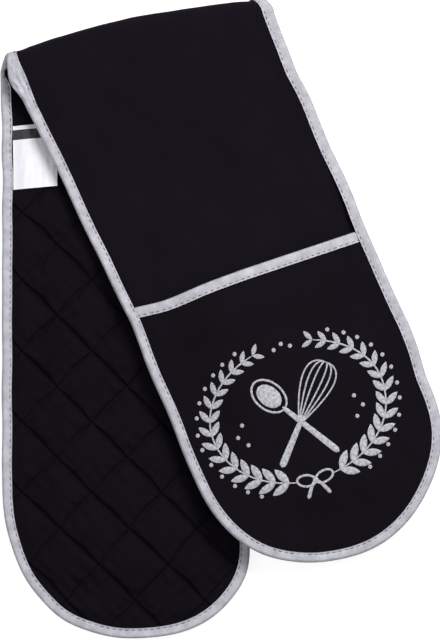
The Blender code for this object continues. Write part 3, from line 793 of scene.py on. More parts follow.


# The pockets' twill is cut across the strip's, and its shades are painted darker than the strip's twill:
# painted shade for the way it takes the light.
pocket_twill = woven_cloth("black_cotton_twill_across", "#0A070D", "#140F17", thread=0.0012, bump=0.00012,
                           wrinkle=0.0011).material

# Plain weave lining, drawn 1.4 mm apart like the twill.
black_lining = woven_cloth("black_cotton_lining", "#0D0B0E", "#1C181E", thread=0.0014, bump=0.00008,
                           wrinkle=0.0004, roughness=0.92, specular=0.1).material

for half in HALVES:
    grid = pocket_grid(half, POCKET_PITCH)
    relief = pocket_relief(*grid) if half is FRONT else 0.0
    panels = pocket_layer(half, "twill", "cloth", grid, -relief, POCKET_CLOTH - relief,
                          pocket_twill)
    thickness = pocket_thickness(half, *grid)
    linings = pocket_layer(half, "inside", "lining", grid, thickness - POCKET_LINING, thickness,
                           black_lining)

    grid = pocket_grid(half, WADDING_PITCH)
    bottom = pocket_thickness(half, *grid) - POCKET_LINING - LAYER_GAP
    for part in pocket_layer(half, "padding", "wadding", grid, POCKET_CLOTH + LAYER_GAP, bottom,
                             white_batting):
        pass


# Edge binding
# Light grey cotton tape, folded over the raw edges of all the layers and sewn through. It runs right round
# the strip and over both ends of the fold. It is full at the outer edge, is pulled down by the row of
# stitches near its inner edge, and bunches a little between them. At the left end of the fold the front
# half's tape twists and bulges over the rear half's, which is tucked in under it.

TAPE_STEP = 0.0015
TAPE_END_SHARE = 0.8
TAPE_TURN = 0.0021
FLAP_COLUMNS = 15
TURN_COLUMNS = 7
FLAP_PRESS = 0.0003
PRESS_START = 0.3
PRESS_RUN = 0.5
STITCH_SHARE = 0.83
STITCH_GROOVE = 0.00025
STITCH_GROOVE_WIDTH = 0.0009
TAPE_BUNCH = 0.00036
TAPE_BUNCH_SIZE = 0.0125
TAPE_BUNCH_STRETCH = 0.5
TAPE_OUTLINE_WAVE = 0.0005
TAPE_OUTLINE_SIZE = 0.055
TAPE_OUTLINE_ONSET = 4
FOLD_BULGE = 0.0046
FOLD_BULGE_PLACE = 0.009
FOLD_BULGE_REACH = 0.011
FOLD_WRINKLE = 0.0013
FOLD_WRINKLE_SIZE = 0.0036
FOLD_WRINKLE_STRETCH = 0.45
FOLD_TUCK = 0.62
FOLD_TUCK_PLACE = 0.003
FOLD_TUCK_REACH = 0.007
MOUTH_END_BUMP = 0.0010
MOUTH_END_REACH = 0.010
BINDING_RISE_START = 8 * MOUTH_TAPE_WIDTH
BINDING_RISE_RUN = 7 * MOUTH_TAPE_WIDTH
JUST_ON_ROLL = -1e-9


def grey_tape(name, dark, light):
    """Cotton tape cut on the bias: slanting ribs, and a worn, slightly patchy light grey."""
    tape = Surface(name, Roughness=0.82, Specular_IOR_Level=0.25, Sheen_Weight=0.05)
    fibres = tape.noise(density=1400.0, detail=2.0)
    ribs = tape.ridges(pitch=0.0013, turn=math.radians(50))
    shade = tape.scaled(tape.noise(density=130.0, detail=5.0, Roughness=0.6), 1.5, plus=-0.55)
    shade = tape.scaled(fibres, 0.5, plus=shade)
    tape.paint(tape.scaled(ribs, 0.15, plus=shade, clamp=True), dark, light)
    rough = tape.scaled(fibres, 0.00022, plus=tape.scaled(ribs, 0.0001))
    tape.emboss(rough, distance=1.0, Strength=0.8)
    return tape.material


# Ribs 0.6 mm apart, drawn 1.3 mm apart so that they show.
binding_tape = grey_tape("light_grey_cotton_tape", "#93939A", "#CDCCD4")


def path_length(across, along):
    return np.concatenate(([0.0], np.cumsum(np.hypot(np.diff(across), np.diff(along)))))


def pressed(share):
    """How far the stitches press a tape down, by share of its width."""
    return FLAP_PRESS * smooth((share - PRESS_START) / PRESS_RUN)


def tape_profile(width):
    """Section of a folded tape, from one flap's inner edge round the turn to the other's: distances in from
    the edge, levels from face (0) to backing (1), how deep it is sewn down, and its inside's distances.
    """
    flap = np.linspace(width, TAPE_TURN, FLAP_COLUMNS)
    turn = np.linspace(0, math.pi, TURN_COLUMNS + 2)[1:-1]
    distance = np.concatenate((flap, TAPE_TURN * (1 - np.sin(turn)), flap[::-1]))
    level = np.concatenate((np.zeros(FLAP_COLUMNS), (1 - np.cos(turn)) / 2, np.ones(FLAP_COLUMNS)))
    sunk = STITCH_GROOVE * bell((flap - STITCH_SHARE * width) / STITCH_GROOVE_WIDTH) + pressed(flap / width)
    sunk = np.concatenate((sunk, np.zeros(TURN_COLUMNS), sunk[::-1]))
    inside = np.concatenate((flap, TAPE_TURN - (TAPE_TURN - TAPE_THICKNESS) * np.sin(turn), flap[::-1]))
    return distance, level, sunk, inside


def tape_waves(tape, seed):
    """Waves of a tape's surface, by its length and across its section."""
    distance = tape_profile(tape.width)[0]
    return waves(distance * TAPE_BUNCH_STRETCH, tape.length_at[:, None], TAPE_BUNCH_SIZE, seed)


def folded_tape(name, tape, bunch):
    """Closed shell of a folded tape that stands out by that much bunch."""
    distance, level, sunk, inside = tape_profile(tape.width)
    gap = tape.gap[:, None]
    dip = np.where(level < 0.5, -1.0, 1.0) * (sunk - bunch) / gap
    outer_level = level - dip
    inner_level = 0.5 + (level[::-1] - 0.5) * (1 - 2 * TAPE_THICKNESS / gap) - dip[:, ::-1]
    rows = len(gap)
    columns = 2 * len(distance)
    distances = np.broadcast_to(np.concatenate((distance, inside)), (rows, columns))
    points = tape.place(distances, np.concatenate((outer_level, inner_level), 1)).reshape(-1, 3)
    first = np.arange(columns // 2 - 1)
    cap = np.stack((first, first + 1, columns - 2 - first, columns - 1 - first), -1)
    last_cap = cap[:, ::-1] + (rows - 1) * columns
    faces = np.concatenate((grid_faces(rows, columns, closed=True), cap, last_cap))
    steps = np.abs(np.diff(distance, prepend=distance[0])) + np.abs(np.diff(level, prepend=0.0)) * TAPE_TURN
    wrap = np.broadcast_to(np.tile(np.cumsum(steps), 2), (rows, columns))
    uv = np.stack((wrap, np.broadcast_to(tape.length_at[:, None], (rows, columns))), -1).reshape(-1, 2)
    return piece_from(name, points, outward(points - points.mean(0), faces), uv, binding_tape)


def tape_heights(half, across, along):
    """Heights of the edge tape's two faces, on the face cloth's side and on the backing's side."""
    pocket = smooth((along - half.mouth_line(across) + BINDING_RISE_START) / BINDING_RISE_RUN)
    thickness = strip_thickness(half, across, along)
    if half is REAR:
        strip = rear_face_height(across, along)
        faced = mix(strip, edge_lift(half, across, along), pocket) - EDGE_INSET
        return faced, strip + thickness + EDGE_INSET
    strip = front_face_height(across, along)
    layers = pocket_thickness(half, across, along) + SEAM_GAP + mouth_room(half, across, along)
    lip = half.mouth_line(across) + MOUTH_TAPE_WIDTH / 2
    over = pocket * layers + MOUTH_END_BUMP * bell((along - lip) / MOUTH_END_REACH)
    return strip + over + EDGE_INSET, strip - thickness - EDGE_INSET - LAYER_GAP


class EdgeTape:
    """Edge binding of a half, from the fold's crest at the right, round the end and back to the crest."""

    width = BINDING_WIDTH

    def __init__(self, half):
        self.half = half
        straight = np.linspace(CREST, half.end_start, round((half.end_start - CREST) / TAPE_STEP) + 1)
        end_steps = 2 * round(TAPE_END_SHARE * HALF_WIDTH * math.pi / 2 / TAPE_STEP)
        across, along = half.end_point(np.linspace(0, math.pi, end_steps + 1)[1:-1], 0)
        side = np.full(len(straight), HALF_WIDTH)
        self.across = np.concatenate((side, across, -side))
        self.along = np.concatenate((straight, along, straight[::-1]))
        self.length_at = path_length(self.across, self.along)
        faced, backed = tape_heights(half, self.across, np.maximum(self.along, 0.0))
        on_roll = strip_thickness(half, self.across, 0.0 * self.along) + 2 * EDGE_INSET
        self.gap = np.where(self.along < 0, on_roll, np.abs(backed - faced))

    def at_fold(self, half, place, reach):
        """Share, by length, of what happens to that half's left tape where it comes out of the fold."""
        return bell((self.along - place) / reach) * (self.across < 0) * (self.half is half)

    def place(self, distances, levels):
        """Points at distances in from the edge and levels between the tape's two faces."""
        run_across = np.gradient(self.across)
        run_along = np.gradient(self.along)
        step = np.hypot(run_across, run_along)
        sway = waves(self.across, self.along, TAPE_OUTLINE_SIZE, seed=61 + self.half.side)
        onset = smooth(self.along / ROLL_FADE * TAPE_OUTLINE_ONSET)
        sway = (TAPE_OUTLINE_WAVE * sway * onset)[:, None]
        bulge = FOLD_BULGE * self.at_fold(FRONT, FOLD_BULGE_PLACE, FOLD_BULGE_REACH)[:, None]
        narrowed = 1 - FOLD_TUCK * self.at_fold(REAR, FOLD_TUCK_PLACE, FOLD_TUCK_REACH)[:, None]
        inward = distances * narrowed - sway - bulge * (1 - smooth(distances / BINDING_WIDTH))
        u = self.across[:, None] + (-run_along / step)[:, None] * inward
        v = self.along[:, None] + (run_across / step)[:, None] * inward
        flat = np.maximum(v, 0.0)
        x, y = self.half.plan(u, flat)
        points = np.stack((x, y, mix(*tape_heights(self.half, u, flat), levels)), -1) + FOLD_PLACE
        depth = mix(-EDGE_INSET, strip_thickness(self.half, u, 0.0 * v) + EDGE_INSET, levels)
        bent = strip_point(self.half, u, np.minimum(v, JUST_ON_ROLL), depth)
        return np.where((self.along < 0)[:, None, None], bent, points)


for half in HALVES:
    tape = EdgeTape(half)
    bunch = TAPE_BUNCH * (1 + tape_waves(tape, seed=71 + half.side)) / 2
    ridges = waves(tape_profile(tape.width)[0], tape.length_at[:, None] * FOLD_WRINKLE_STRETCH,
                   FOLD_WRINKLE_SIZE, seed=75)
    twisted = np.sqrt(tape.at_fold(FRONT, FOLD_BULGE_PLACE, FOLD_BULGE_REACH))[:, None]
    bunch = bunch + FOLD_WRINKLE * twisted * (1 - np.abs(ridges))
    piece = folded_tape(f"{half.name}_binding_tape", tape, bunch)
    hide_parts(f"{half.name}_edge_binding", "fold_binding_left", "fold_binding_right")
    bend_with_fold(piece)


# Binding of the pocket mouths
# The same grey tape, folded over the open edge of each pocket before the pocket is laid on the strip. The
# front one slants, hangs lowest a sixth of the way in from its left end, and has its ends under the edge
# binding.

MOUTH_TAPE_STEP = 0.0016
MOUTH_TAPE_INSET = 0.0042
MOUTH_TAPE_EDGE = 0.0011
MOUTH_BUNCH_SHARE = 0.3


class MouthTape:
    """Binding of a pocket's mouth, over a stretch of it."""

    width = MOUTH_TAPE_WIDTH

    def __init__(self, half, across):
        self.half = half
        self.across = across
        self.lip = half.mouth_line(across)
        self.length_at = path_length(across, self.lip) + (half.side + across[0])
        self.gap = pocket_thickness(half, across, self.lip) + 2 * EDGE_INSET

    def place(self, distances, levels):
        u = np.broadcast_to(self.across[:, None], distances.shape)
        v = self.lip[:, None] + distances
        free = smooth((self.half.edge_distance(u, v) - BINDING_WIDTH / 2) / BINDING_WIDTH)
        proud = mix(MOUTH_TAPE_EDGE, EDGE_INSET, free)
        thickness = pocket_thickness(self.half, u, v)
        return pocket_point(self.half, u, v, mix(-proud, thickness + proud, levels))


for half in HALVES:
    side = HALF_WIDTH - MOUTH_TAPE_INSET
    shares = row_shares(side, MOUTH_TAPE_STEP)
    for turn, ending, columns in pocket_parts(half, len(shares)):
        tape = MouthTape(half, side * shares[columns])
        bunch = MOUTH_BUNCH_SHARE * TAPE_BUNCH * (1 + tape_waves(tape, seed=81))
        piece = folded_tape(f"{half.name}_mouth_tape{ending}", tape, bunch)
        move_with_pocket(piece, turn)
        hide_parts(f"{half.name}_pocket_mouth_binding")


# Topstitching
# Rows of dark polyester thread through the binding near its inner edge, a stitch every 4.6 mm, on the face
# side and on the backing side, and along the tape of each pocket's mouth. Each stitch dips into the tape
# at both ends.

STITCH_PITCH = 0.0046
STITCH_LENGTH = 0.0031
THREAD_WIDTH = 0.00058
THREAD_LIFT = 0.00012
MOUTH_ROW_POINTS = 61


def sewing_thread(name, colour):
    """Twisted polyester: dark and slightly glossy, with the twist as a fine relief."""
    thread = Surface(name, in_object=True, Roughness=0.55, Specular_IOR_Level=0.35,
                     Base_Color=linear(colour))
    thread.emboss(thread.ridges(pitch=0.0006, turn=math.radians(40)), distance=0.0001)
    return thread.material


dark_thread = sewing_thread("charcoal_sewing_thread", "#35343A")


def open_tree(name, inputs):
    """Geometry tree that takes lines of edges and those inputs, and the sockets that hand them out."""
    tree = bpy.data.node_groups.new(name, "GeometryNodeTree")
    tree.interface.new_socket("Geometry", in_out="INPUT", socket_type="NodeSocketGeometry")
    for label, kind in inputs.items():
        tree.interface.new_socket(label, in_out="INPUT", socket_type=f"NodeSocket{kind}")
    tree.interface.new_socket("Geometry", in_out="OUTPUT", socket_type="NodeSocketGeometry")
    return tree, tree.nodes.new("NodeGroupInput").outputs


def places_along(tree, lines, pitch):
    """Points evenly spaced on lines, and the rotation that points X along the line."""
    curve = add_node(tree, "GeometryNodeMeshToCurve", {"Mesh": lines}).outputs["Curve"]
    points = add_node(tree, "GeometryNodeResampleCurve", {"Curve": curve, "Length": pitch}, mode="LENGTH")
    tangent = add_node(tree, "GeometryNodeInputTangent").outputs["Tangent"]
    turn = add_node(tree, "FunctionNodeAlignRotationToVector", {"Vector": tangent}, axis="X")
    return points.outputs["Curve"], turn.outputs["Rotation"]


def copies_at(tree, points, shape, rotation, scale):
    inputs = {"Points": points, "Instance": shape, "Rotation": rotation, "Scale": scale}
    return add_node(tree, "GeometryNodeInstanceOnPoints", inputs).outputs["Instances"]


def close_tree(tree, geometry, material):
    """End a geometry tree: its copies become a plain mesh of that material."""
    real = add_node(tree, "GeometryNodeRealizeInstances", {"Geometry": geometry})
    dyed = add_node(tree, "GeometryNodeSetMaterial",
                    {"Geometry": real.outputs["Geometry"], "Material": material})
    result = tree.nodes.new("NodeGroupOutput")
    tree.links.new(dyed.outputs["Geometry"], result.inputs["Geometry"])
    return tree


def stitch_row_tree():
    """Geometry nodes that sew a row of stitches along a line of edges."""
    tree, given = open_tree("row_of_stitches", {"Stitch pitch": "Float", "Stitch length": "Float",
                                                "Thread width": "Float", "Thread": "Material"})
    holes, turn = places_along(tree, given["Geometry"], given["Stitch pitch"])
    stitch = add_node(tree, "GeometryNodeMeshUVSphere", {"Segments": 8, "Rings": 5, "Radius": 0.5})
    size = add_node(tree, "ShaderNodeCombineXYZ", {"X": given["Stitch length"], "Y": given["Thread width"],
                                                   "Z": given["Thread width"]})
    sewn = copies_at(tree, holes, stitch.outputs["Mesh"], turn, size.outputs["Vector"])
    rounded = add_node(tree, "GeometryNodeSetShadeSmooth", {"Geometry": sewn})
    return close_tree(tree, rounded.outputs["Geometry"], given["Thread"])


stitch_row = stitch_row_tree()


def made_by_nodes(name, points, edges, tree, values):
    """Run a geometry tree on lines of edges, and keep its result as a plain mesh object."""
    mesh = bpy.data.meshes.new(name)
    mesh.from_pydata([tuple(point) for point in points], edges, [])
    source = in_scene(bpy.data.objects.new(name, mesh))
    modifier = source.modifiers.new(name, "NODES")
    modifier.node_group = tree
    for item in tree.interface.items_tree:
        if item.in_out == "INPUT" and item.name in values:
            modifier[item.identifier] = values[item.name]
    shown = source.evaluated_get(bpy.context.evaluated_depsgraph_get())
    made = bpy.data.meshes.new_from_object(shown)
    source.modifiers.clear()
    source.data = made
    bpy.data.meshes.remove(mesh)
    made.name = name
    return source


def sewn_rows(name, tape):
    """Row of stitches on each face of a tape, sunk in its groove."""
    lift = THREAD_LIFT - STITCH_GROOVE - pressed(STITCH_SHARE)
    distances = np.full((len(tape.gap), 1), STITCH_SHARE * tape.width)
    rows = [tape.place(distances, (level + side * lift / tape.gap)[:, None])[:, 0]
            for level, side in ((0, -1), (1, 1))]
    count = len(tape.gap)
    edges = [(i, i + 1) for i in range(2 * count - 1) if i != count - 1]
    piece = made_by_nodes(name, np.concatenate(rows), edges, stitch_row,
                          {"Stitch pitch": STITCH_PITCH, "Stitch length": STITCH_LENGTH,
                           "Thread width": THREAD_WIDTH, "Thread": dark_thread})
    return piece


for half in HALVES:
    bend_with_fold(sewn_rows(f"{half.name}_stitches", EdgeTape(half)))

for half in HALVES:
    side = HALF_WIDTH - BINDING_WIDTH - THREAD_WIDTH
    if half is REAR:
        runs = ((0, "", np.linspace(-side, side, 2 * MOUTH_ROW_POINTS - 1)),)
    else:
        runs = ((-1, "_left", np.linspace(-side, -STITCH_PITCH / 2, MOUTH_ROW_POINTS)),
                (1, "_right", np.linspace(STITCH_PITCH / 2, side, MOUTH_ROW_POINTS)))
    for turn, ending, across in runs:
        move_with_pocket(sewn_rows(f"{half.name}_mouth_stitches{ending}", MouthTape(half, across)), turn)


# Embroidered motif
# Silver-grey satin stitch on the front pocket: a wreath of two leafy stems round a crossed whisk and wooden
# spoon. Every stroke is a low rounded band of yarn on the cloth. It is drawn flat in the motif's own axes,
# cut at the pocket's centre line like the cloth, and laid on the cloth's relief.

MOTIF_PLACE = (-0.004, 0.302)
MOTIF_TURN = math.radians(9)
YARN_RISE = 0.0004
YARN_COLUMNS = 6
YARN_STEP = 0.0012
YARN_WIDTH_TO_RISE = 3
OVAL_LEAST_ROWS = 7
OVAL_WIDTH_TO_TIP = 20
STEM_POINTS = 121
LOOP_POINTS = 41
TAIL_POINTS = 15
BOWL_POINTS = 49
STROKE_END_POWER = 14
STROKE_END_SHARE = 0.02
WREATH_WIDTH = 0.130
WREATH_HEIGHT = 0.102
STEM_START = math.radians(-79)
LEAVES_START = math.radians(-74)
STEM_END = math.radians(70)
STEM_WIDTH = 0.0013
LEAF_LENGTH = 0.0150
LEAF_WIDTH = 0.0058
LEAF_FULLNESS = 0.9
LEAF_PITCH = 0.0098
LEAF_TURN = math.radians(40)
TIP_LEAF_SCALE = 0.6
BERRY_SIZE = 0.0031
BERRY_CLEARANCE = 0.0019
BESIDE_UTENSILS = ((0.041, -0.014), (0.047, -0.007), (0.042, 0.001))
WREATH_GAP = ((-0.006, 0.048), (0.0, 0.051), (0.006, 0.048))
BOW_HEIGHT = -0.0515
BOW_LOOP = (0.0135, 0.0085)
BOW_LOOP_LIFT = 0.25
BOW_TAIL = (0.0085, 0.0125)
BOW_TAIL_CURVE = 1.4
BOW_WIDTH = 0.0017
BOW_TAIL_WIDTH = 1.8 * BOW_WIDTH
BOW_KNOT = (3 * BOW_WIDTH, 2.4 * BOW_WIDTH)
UTENSIL_LEAN = math.radians(37)
CROSSING_HEIGHT = -0.007
HANDLE_REACH = 0.036
WHISK_HANDLE_WIDTH = 0.0054
WHISK_HANDLE_TAPER = 0.7
WHISK_HEAD_LENGTH = 0.046
WHISK_HEAD_WIDTH = 0.026
WHISK_SWELL = 1.25
WHISK_BASE_SHARE = 0.25
WHISK_ROUNDNESS = 0.8
WHISK_WIRE = 0.0012
WHISK_WIRE_SHARES = (-1.0, -0.62, -0.24, 0.24, 0.62, 1.0)
WHISK_COLLAR_REACH = 0.6 * WHISK_HANDLE_WIDTH
WHISK_COLLAR_HEIGHT = 0.001
WHISK_COLLAR_WIDTH = 0.0026
SPOON_NECK_WIDTH = 0.0034
SPOON_HANDLE_WIDTH = 0.0050
SPOON_HANDLE_END = 0.017
SPOON_BOWL_START = 0.015
SPOON_BOWL_LENGTH = 0.029
SPOON_BOWL_WIDTH = 0.0195
SPOON_RIM = 0.0016
SPOON_FILL = 0.72


def satin_yarn(name, dark, light):
    """Viscose yarn in satin stitch: silky threads side by side, patchy where the cloth shows between."""
    yarn = Surface(name, Roughness=0.48, Specular_IOR_Level=0.4, Sheen_Weight=0.1)
    patches = yarn.noise(density=420.0, detail=4.0)
    yarn.paint(yarn.scaled(patches, 2.2, plus=-0.6, clamp=True), dark, light)
    yarn.emboss(yarn.ridges(pitch=0.0009, turn=0.0), distance=0.00015)
    return yarn.material


silver_yarn = satin_yarn("silver_grey_satin_yarn", "#84848A", "#D2D2D8")


def yarn_band(path, widths, base=0.0):
    """Points, faces and UV of a low rounded band of yarn along a path of flat points."""
    run = np.gradient(path, axis=0)
    side = np.stack((-run[:, 1], run[:, 0]), -1) / np.hypot(run[:, 0], run[:, 1])[:, None]
    turn = np.linspace(0, math.pi, YARN_COLUMNS)
    reach = widths[:, None] / 2 * np.cos(turn)
    flat = path[:, None] + side[:, None] * reach[..., None]
    rise = base + np.minimum(YARN_RISE, widths / YARN_WIDTH_TO_RISE)[:, None] * np.sin(turn)
    length_at = path_length(path[:, 0], path[:, 1])
    points = np.concatenate((flat, rise[..., None]), -1).reshape(-1, 3)
    uv = np.stack((np.broadcast_to(length_at[:, None], reach.shape), reach), -1).reshape(-1, 2)
    return points, grid_faces(len(path), YARN_COLUMNS, closed=True), uv


def joined(bands):
    """Points, faces and UV of several bands as one."""
    starts = np.cumsum([0] + [len(points) for points, faces, uv in bands])
    points = np.concatenate([band[0] for band in bands])
    faces = np.concatenate([band[1] + start for band, start in zip(bands, starts)])
    return points, faces, np.concatenate([band[2] for band in bands])


def oval(centre, direction, length, width, fullness=0.5):
    """Band that swells to its full width and back: an ellipse at fullness 0.5, more pointed above it."""
    shares = np.linspace(-1, 1, max(OVAL_LEAST_ROWS, 2 * round(length / YARN_STEP / 2) + 1))
    path = np.array(centre) + np.outer(shares * length / 2, direction)
    return yarn_band(path, np.maximum(width * (1 - shares ** 2) ** fullness, width / OVAL_WIDTH_TO_TIP))


def berry(centre):
    return oval(centre, (1.0, 0.0), BERRY_SIZE, BERRY_SIZE)


def stroke(path, start_width, end_width, base=0.0):
    """Band of even or tapering width with rounded ends."""
    shares = np.linspace(-1, 1, len(path))
    rounding = np.sqrt(np.maximum(1 - np.abs(shares) ** STROKE_END_POWER, STROKE_END_SHARE))
    return yarn_band(path, np.linspace(start_width, end_width, len(path)) * rounding, base)


def leafy_stem_tree():
    """Geometry nodes that set pairs of leaves along a stem, smaller towards its tip."""
    tree, given = open_tree("leafy_stem", {"Leaf": "Object", "Leaf pitch": "Float", "Leaf turn": "Float",
                                           "Tip scale": "Float", "Yarn": "Material"})
    points, straight = places_along(tree, given["Geometry"], given["Leaf pitch"])
    leaf = add_node(tree, "GeometryNodeObjectInfo", {"Object": given["Leaf"]}).outputs["Geometry"]
    share = add_node(tree, "GeometryNodeSplineParameter").outputs["Factor"]
    size = add_node(tree, "ShaderNodeMapRange",
                    {"Value": share, "To Min": 1.0, "To Max": given["Tip scale"]})
    both = tree.nodes.new("GeometryNodeJoinGeometry")
    for side in (1.0, -1.0):
        angle = result_of(tree, "MULTIPLY", given["Leaf turn"], side)
        turn = add_node(tree, "FunctionNodeAxisAngleToRotation", {"Axis": (0.0, 0.0, 1.0), "Angle": angle})
        pointed = add_node(tree, "FunctionNodeRotateRotation",
                           {"Rotation": straight, "Rotate By": turn.outputs["Rotation"]},
                           rotation_space="LOCAL")
        leaves = copies_at(tree, points, leaf, pointed.outputs["Rotation"], size.outputs["Result"])
        tree.links.new(leaves, both.inputs["Geometry"])
    return close_tree(tree, both.outputs["Geometry"], given["Yarn"])


def arrays_of(piece):
    """Points, faces and UV of a piece made only of four-cornered faces, which is then removed."""
    mesh = piece.data
    points = np.empty(3 * len(mesh.vertices), np.float32)
    mesh.vertices.foreach_get("co", points)
    corners = np.empty(len(mesh.loops), np.int32)
    mesh.loops.foreach_get("vertex_index", corners)
    corner_uv = np.empty(2 * len(mesh.loops), np.float32)
    mesh.uv_layers["cloth"].data.foreach_get("uv", corner_uv)
    uv = np.zeros((len(mesh.vertices), 2))
    uv[corners] = corner_uv.reshape(-1, 2)
    bpy.data.objects.remove(piece)
    return points.reshape(-1, 3).astype(float), corners.reshape(-1, 4), uv


def wreath_bands():
    """Two stems that almost meet at the bottom, their leaves, and berries past the tips of the leaves."""
    shape = oval((LEAF_LENGTH / 2, 0.0), (1.0, 0.0), LEAF_LENGTH, LEAF_WIDTH, LEAF_FULLNESS)
    leaf = piece_from("leaf", *shape, silver_yarn)
    leafy_stem = leafy_stem_tree()
    turns = np.linspace(STEM_START, STEM_END, STEM_POINTS)
    bands = []
    for side in (-1, 1):
        stem = np.stack((side * WREATH_WIDTH / 2 * np.cos(turns), WREATH_HEIGHT / 2 * np.sin(turns)), -1)
        bands.append(stroke(stem, STEM_WIDTH, STEM_WIDTH))
        leafy = stem[turns > LEAVES_START]
        points = np.concatenate((leafy, 0.0 * leafy[:, :1]), 1)
        edges = [(i, i + 1) for i in range(len(leafy) - 1)]
        values = {"Leaf": leaf, "Leaf pitch": LEAF_PITCH, "Leaf turn": LEAF_TURN,
                  "Tip scale": TIP_LEAF_SCALE, "Yarn": silver_yarn}
        bands.append(arrays_of(made_by_nodes("stem_leaves", points, edges, leafy_stem, values)))
        length_at = path_length(leafy[:, 0], leafy[:, 1])
        run = np.gradient(leafy, axis=0)
        out = np.stack((run[:, 1], -run[:, 0]), -1) * side / np.hypot(run[:, 0], run[:, 1])[:, None]
        for base in np.arange(0.0, length_at[-1] - 2 * LEAF_PITCH, LEAF_PITCH):
            leaf_size = LEAF_LENGTH * mix(1.0, TIP_LEAF_SCALE, base / length_at[-1])
            i = np.searchsorted(length_at, base + leaf_size * math.cos(LEAF_TURN) + LEAF_PITCH / 2)
            bands.append(berry(leafy[i] + (leaf_size * math.sin(LEAF_TURN) + BERRY_CLEARANCE) * out[i]))
    bpy.data.objects.remove(leaf)
    return bands


def bow_bands():
    """Bow between the two stems: two loops, two tails and a knot."""
    turns = np.linspace(0, 2 * math.pi, LOOP_POINTS)
    climb = (1 - np.cos(turns)) / 2
    shares = np.linspace(0, 1, TAIL_POINTS)
    bands = []
    for side in (-1, 1):
        loop = np.stack((side * BOW_LOOP[0] * climb, BOW_HEIGHT + BOW_LOOP[1] / 2 * np.sin(turns)
                         + BOW_LOOP_LIFT * BOW_LOOP[1] * climb), -1)
        tail = np.stack((side * BOW_TAIL[0] * shares,
                         BOW_HEIGHT - BOW_TAIL[1] * shares ** BOW_TAIL_CURVE), -1)
        bands += [stroke(loop, BOW_WIDTH, BOW_WIDTH), stroke(tail, BOW_WIDTH, BOW_TAIL_WIDTH)]
    return bands + [oval((0.0, BOW_HEIGHT), (0.0, 1.0), *BOW_KNOT)]


def leaning(path, side):
    """Turn a path drawn upright about the crossing of the two utensils."""
    turn = side * UTENSIL_LEAN
    x, y = np.array(path).T
    return np.stack((x * math.cos(turn) + y * math.sin(turn),
                     y * math.cos(turn) - x * math.sin(turn) + CROSSING_HEIGHT), -1)


def upright(start, end):
    heights = np.linspace(start, end, max(3, round(abs(end - start) / YARN_STEP)))
    return np.stack((0.0 * heights, heights), -1)


def whisk_bands():
    """Balloon whisk: a thick handle with a collar, and wires that swell towards the tip."""
    bands = [stroke(leaning(upright(-HANDLE_REACH, 0.0), 1), WHISK_HANDLE_WIDTH,
                    WHISK_HANDLE_WIDTH * WHISK_HANDLE_TAPER, YARN_RISE)]
    turns = np.linspace(0, math.pi, LOOP_POINTS)
    climb = (1 - np.cos(turns)) / 2
    swell = np.sin(turns) ** WHISK_ROUNDNESS * mix(WHISK_BASE_SHARE, 1.0, climb) * WHISK_SWELL
    for share in WHISK_WIRE_SHARES:
        wire = np.stack((share * WHISK_HEAD_WIDTH / 2 * swell, WHISK_HEAD_LENGTH * climb), -1)
        bands.append(stroke(leaning(wire, 1), WHISK_WIRE, WHISK_WIRE))
    collar = [(share * WHISK_COLLAR_REACH, WHISK_COLLAR_HEIGHT) for share in (-1, 0, 1)]
    return bands + [stroke(leaning(collar, 1), WHISK_COLLAR_WIDTH, WHISK_COLLAR_WIDTH, YARN_RISE)]


def spoon_bands():
    """Wooden spoon: a handle that swells towards its end, and an oval bowl in a rim."""
    handle = leaning(upright(-HANDLE_REACH, SPOON_HANDLE_END), -1)
    turns = np.linspace(0, 2 * math.pi, BOWL_POINTS)
    middle = SPOON_BOWL_START + SPOON_BOWL_LENGTH / 2
    rim = np.stack((SPOON_BOWL_WIDTH / 2 * np.sin(turns),
                    middle - SPOON_BOWL_LENGTH / 2 * np.cos(turns)), -1)
    centre = leaning([(0.0, middle)], -1)[0]
    down = leaning([(0.0, 1.0)], -1)[0] - leaning([(0.0, 0.0)], -1)[0]
    return [stroke(handle, SPOON_HANDLE_WIDTH, SPOON_NECK_WIDTH),
            stroke(leaning(rim, -1), SPOON_RIM, SPOON_RIM),
            oval(centre, down, SPOON_FILL * SPOON_BOWL_LENGTH, SPOON_FILL * SPOON_BOWL_WIDTH)]


def laid_on_pocket(name, points, faces, uv, side):
    """The part of the motif on one side of the pocket's centre line, laid on the cloth."""
    x, y, rise = points.T
    across = MOTIF_PLACE[0] + x * math.cos(MOTIF_TURN) + y * math.sin(MOTIF_TURN)
    along = MOTIF_PLACE[1] + x * math.sin(MOTIF_TURN) - y * math.cos(MOTIF_TURN)
    piece = piece_from(name, np.stack((across, along, rise), -1), faces, uv, silver_yarn)
    cut = bmesh.new()
    cut.from_mesh(piece.data)
    bmesh.ops.bisect_plane(cut, geom=cut.verts[:] + cut.edges[:] + cut.faces[:], plane_co=(0.0, 0.0, 0.0),
                           plane_no=(side, 0.0, 0.0), clear_inner=True)
    cut.to_mesh(piece.data)
    cut.free()
    flat = np.empty(3 * len(piece.data.vertices), np.float32)
    piece.data.vertices.foreach_get("co", flat)
    across, along, rise = flat.reshape(-1, 3).astype(float).T
    placed = pocket_point(FRONT, across, along, -pocket_relief(across, along) - rise)
    piece.data.vertices.foreach_set("co", placed.astype(np.float32).ravel())
    piece.data.update()
    return piece


# Berries in threes stand beside the utensils and in the gap at the top of the wreath.
berries = [berry((side * x, y)) for x, y in BESIDE_UTENSILS for side in (-1, 1)]
berries += [berry(place) for place in WREATH_GAP]
motif = joined(wreath_bands() + bow_bands() + whisk_bands() + spoon_bands() + berries)
for side, label in ((-1, "left"), (1, "right")):
    piece = laid_on_pocket(f"pocket_motif_{label}", *motif, side)
    move_with_pocket(piece, side)


# Care label
# White satin ribbon, sewn into the left binding of the rear half and lying loose on the quilting. It has a
# plain dark band near its upper edge and is otherwise bare.

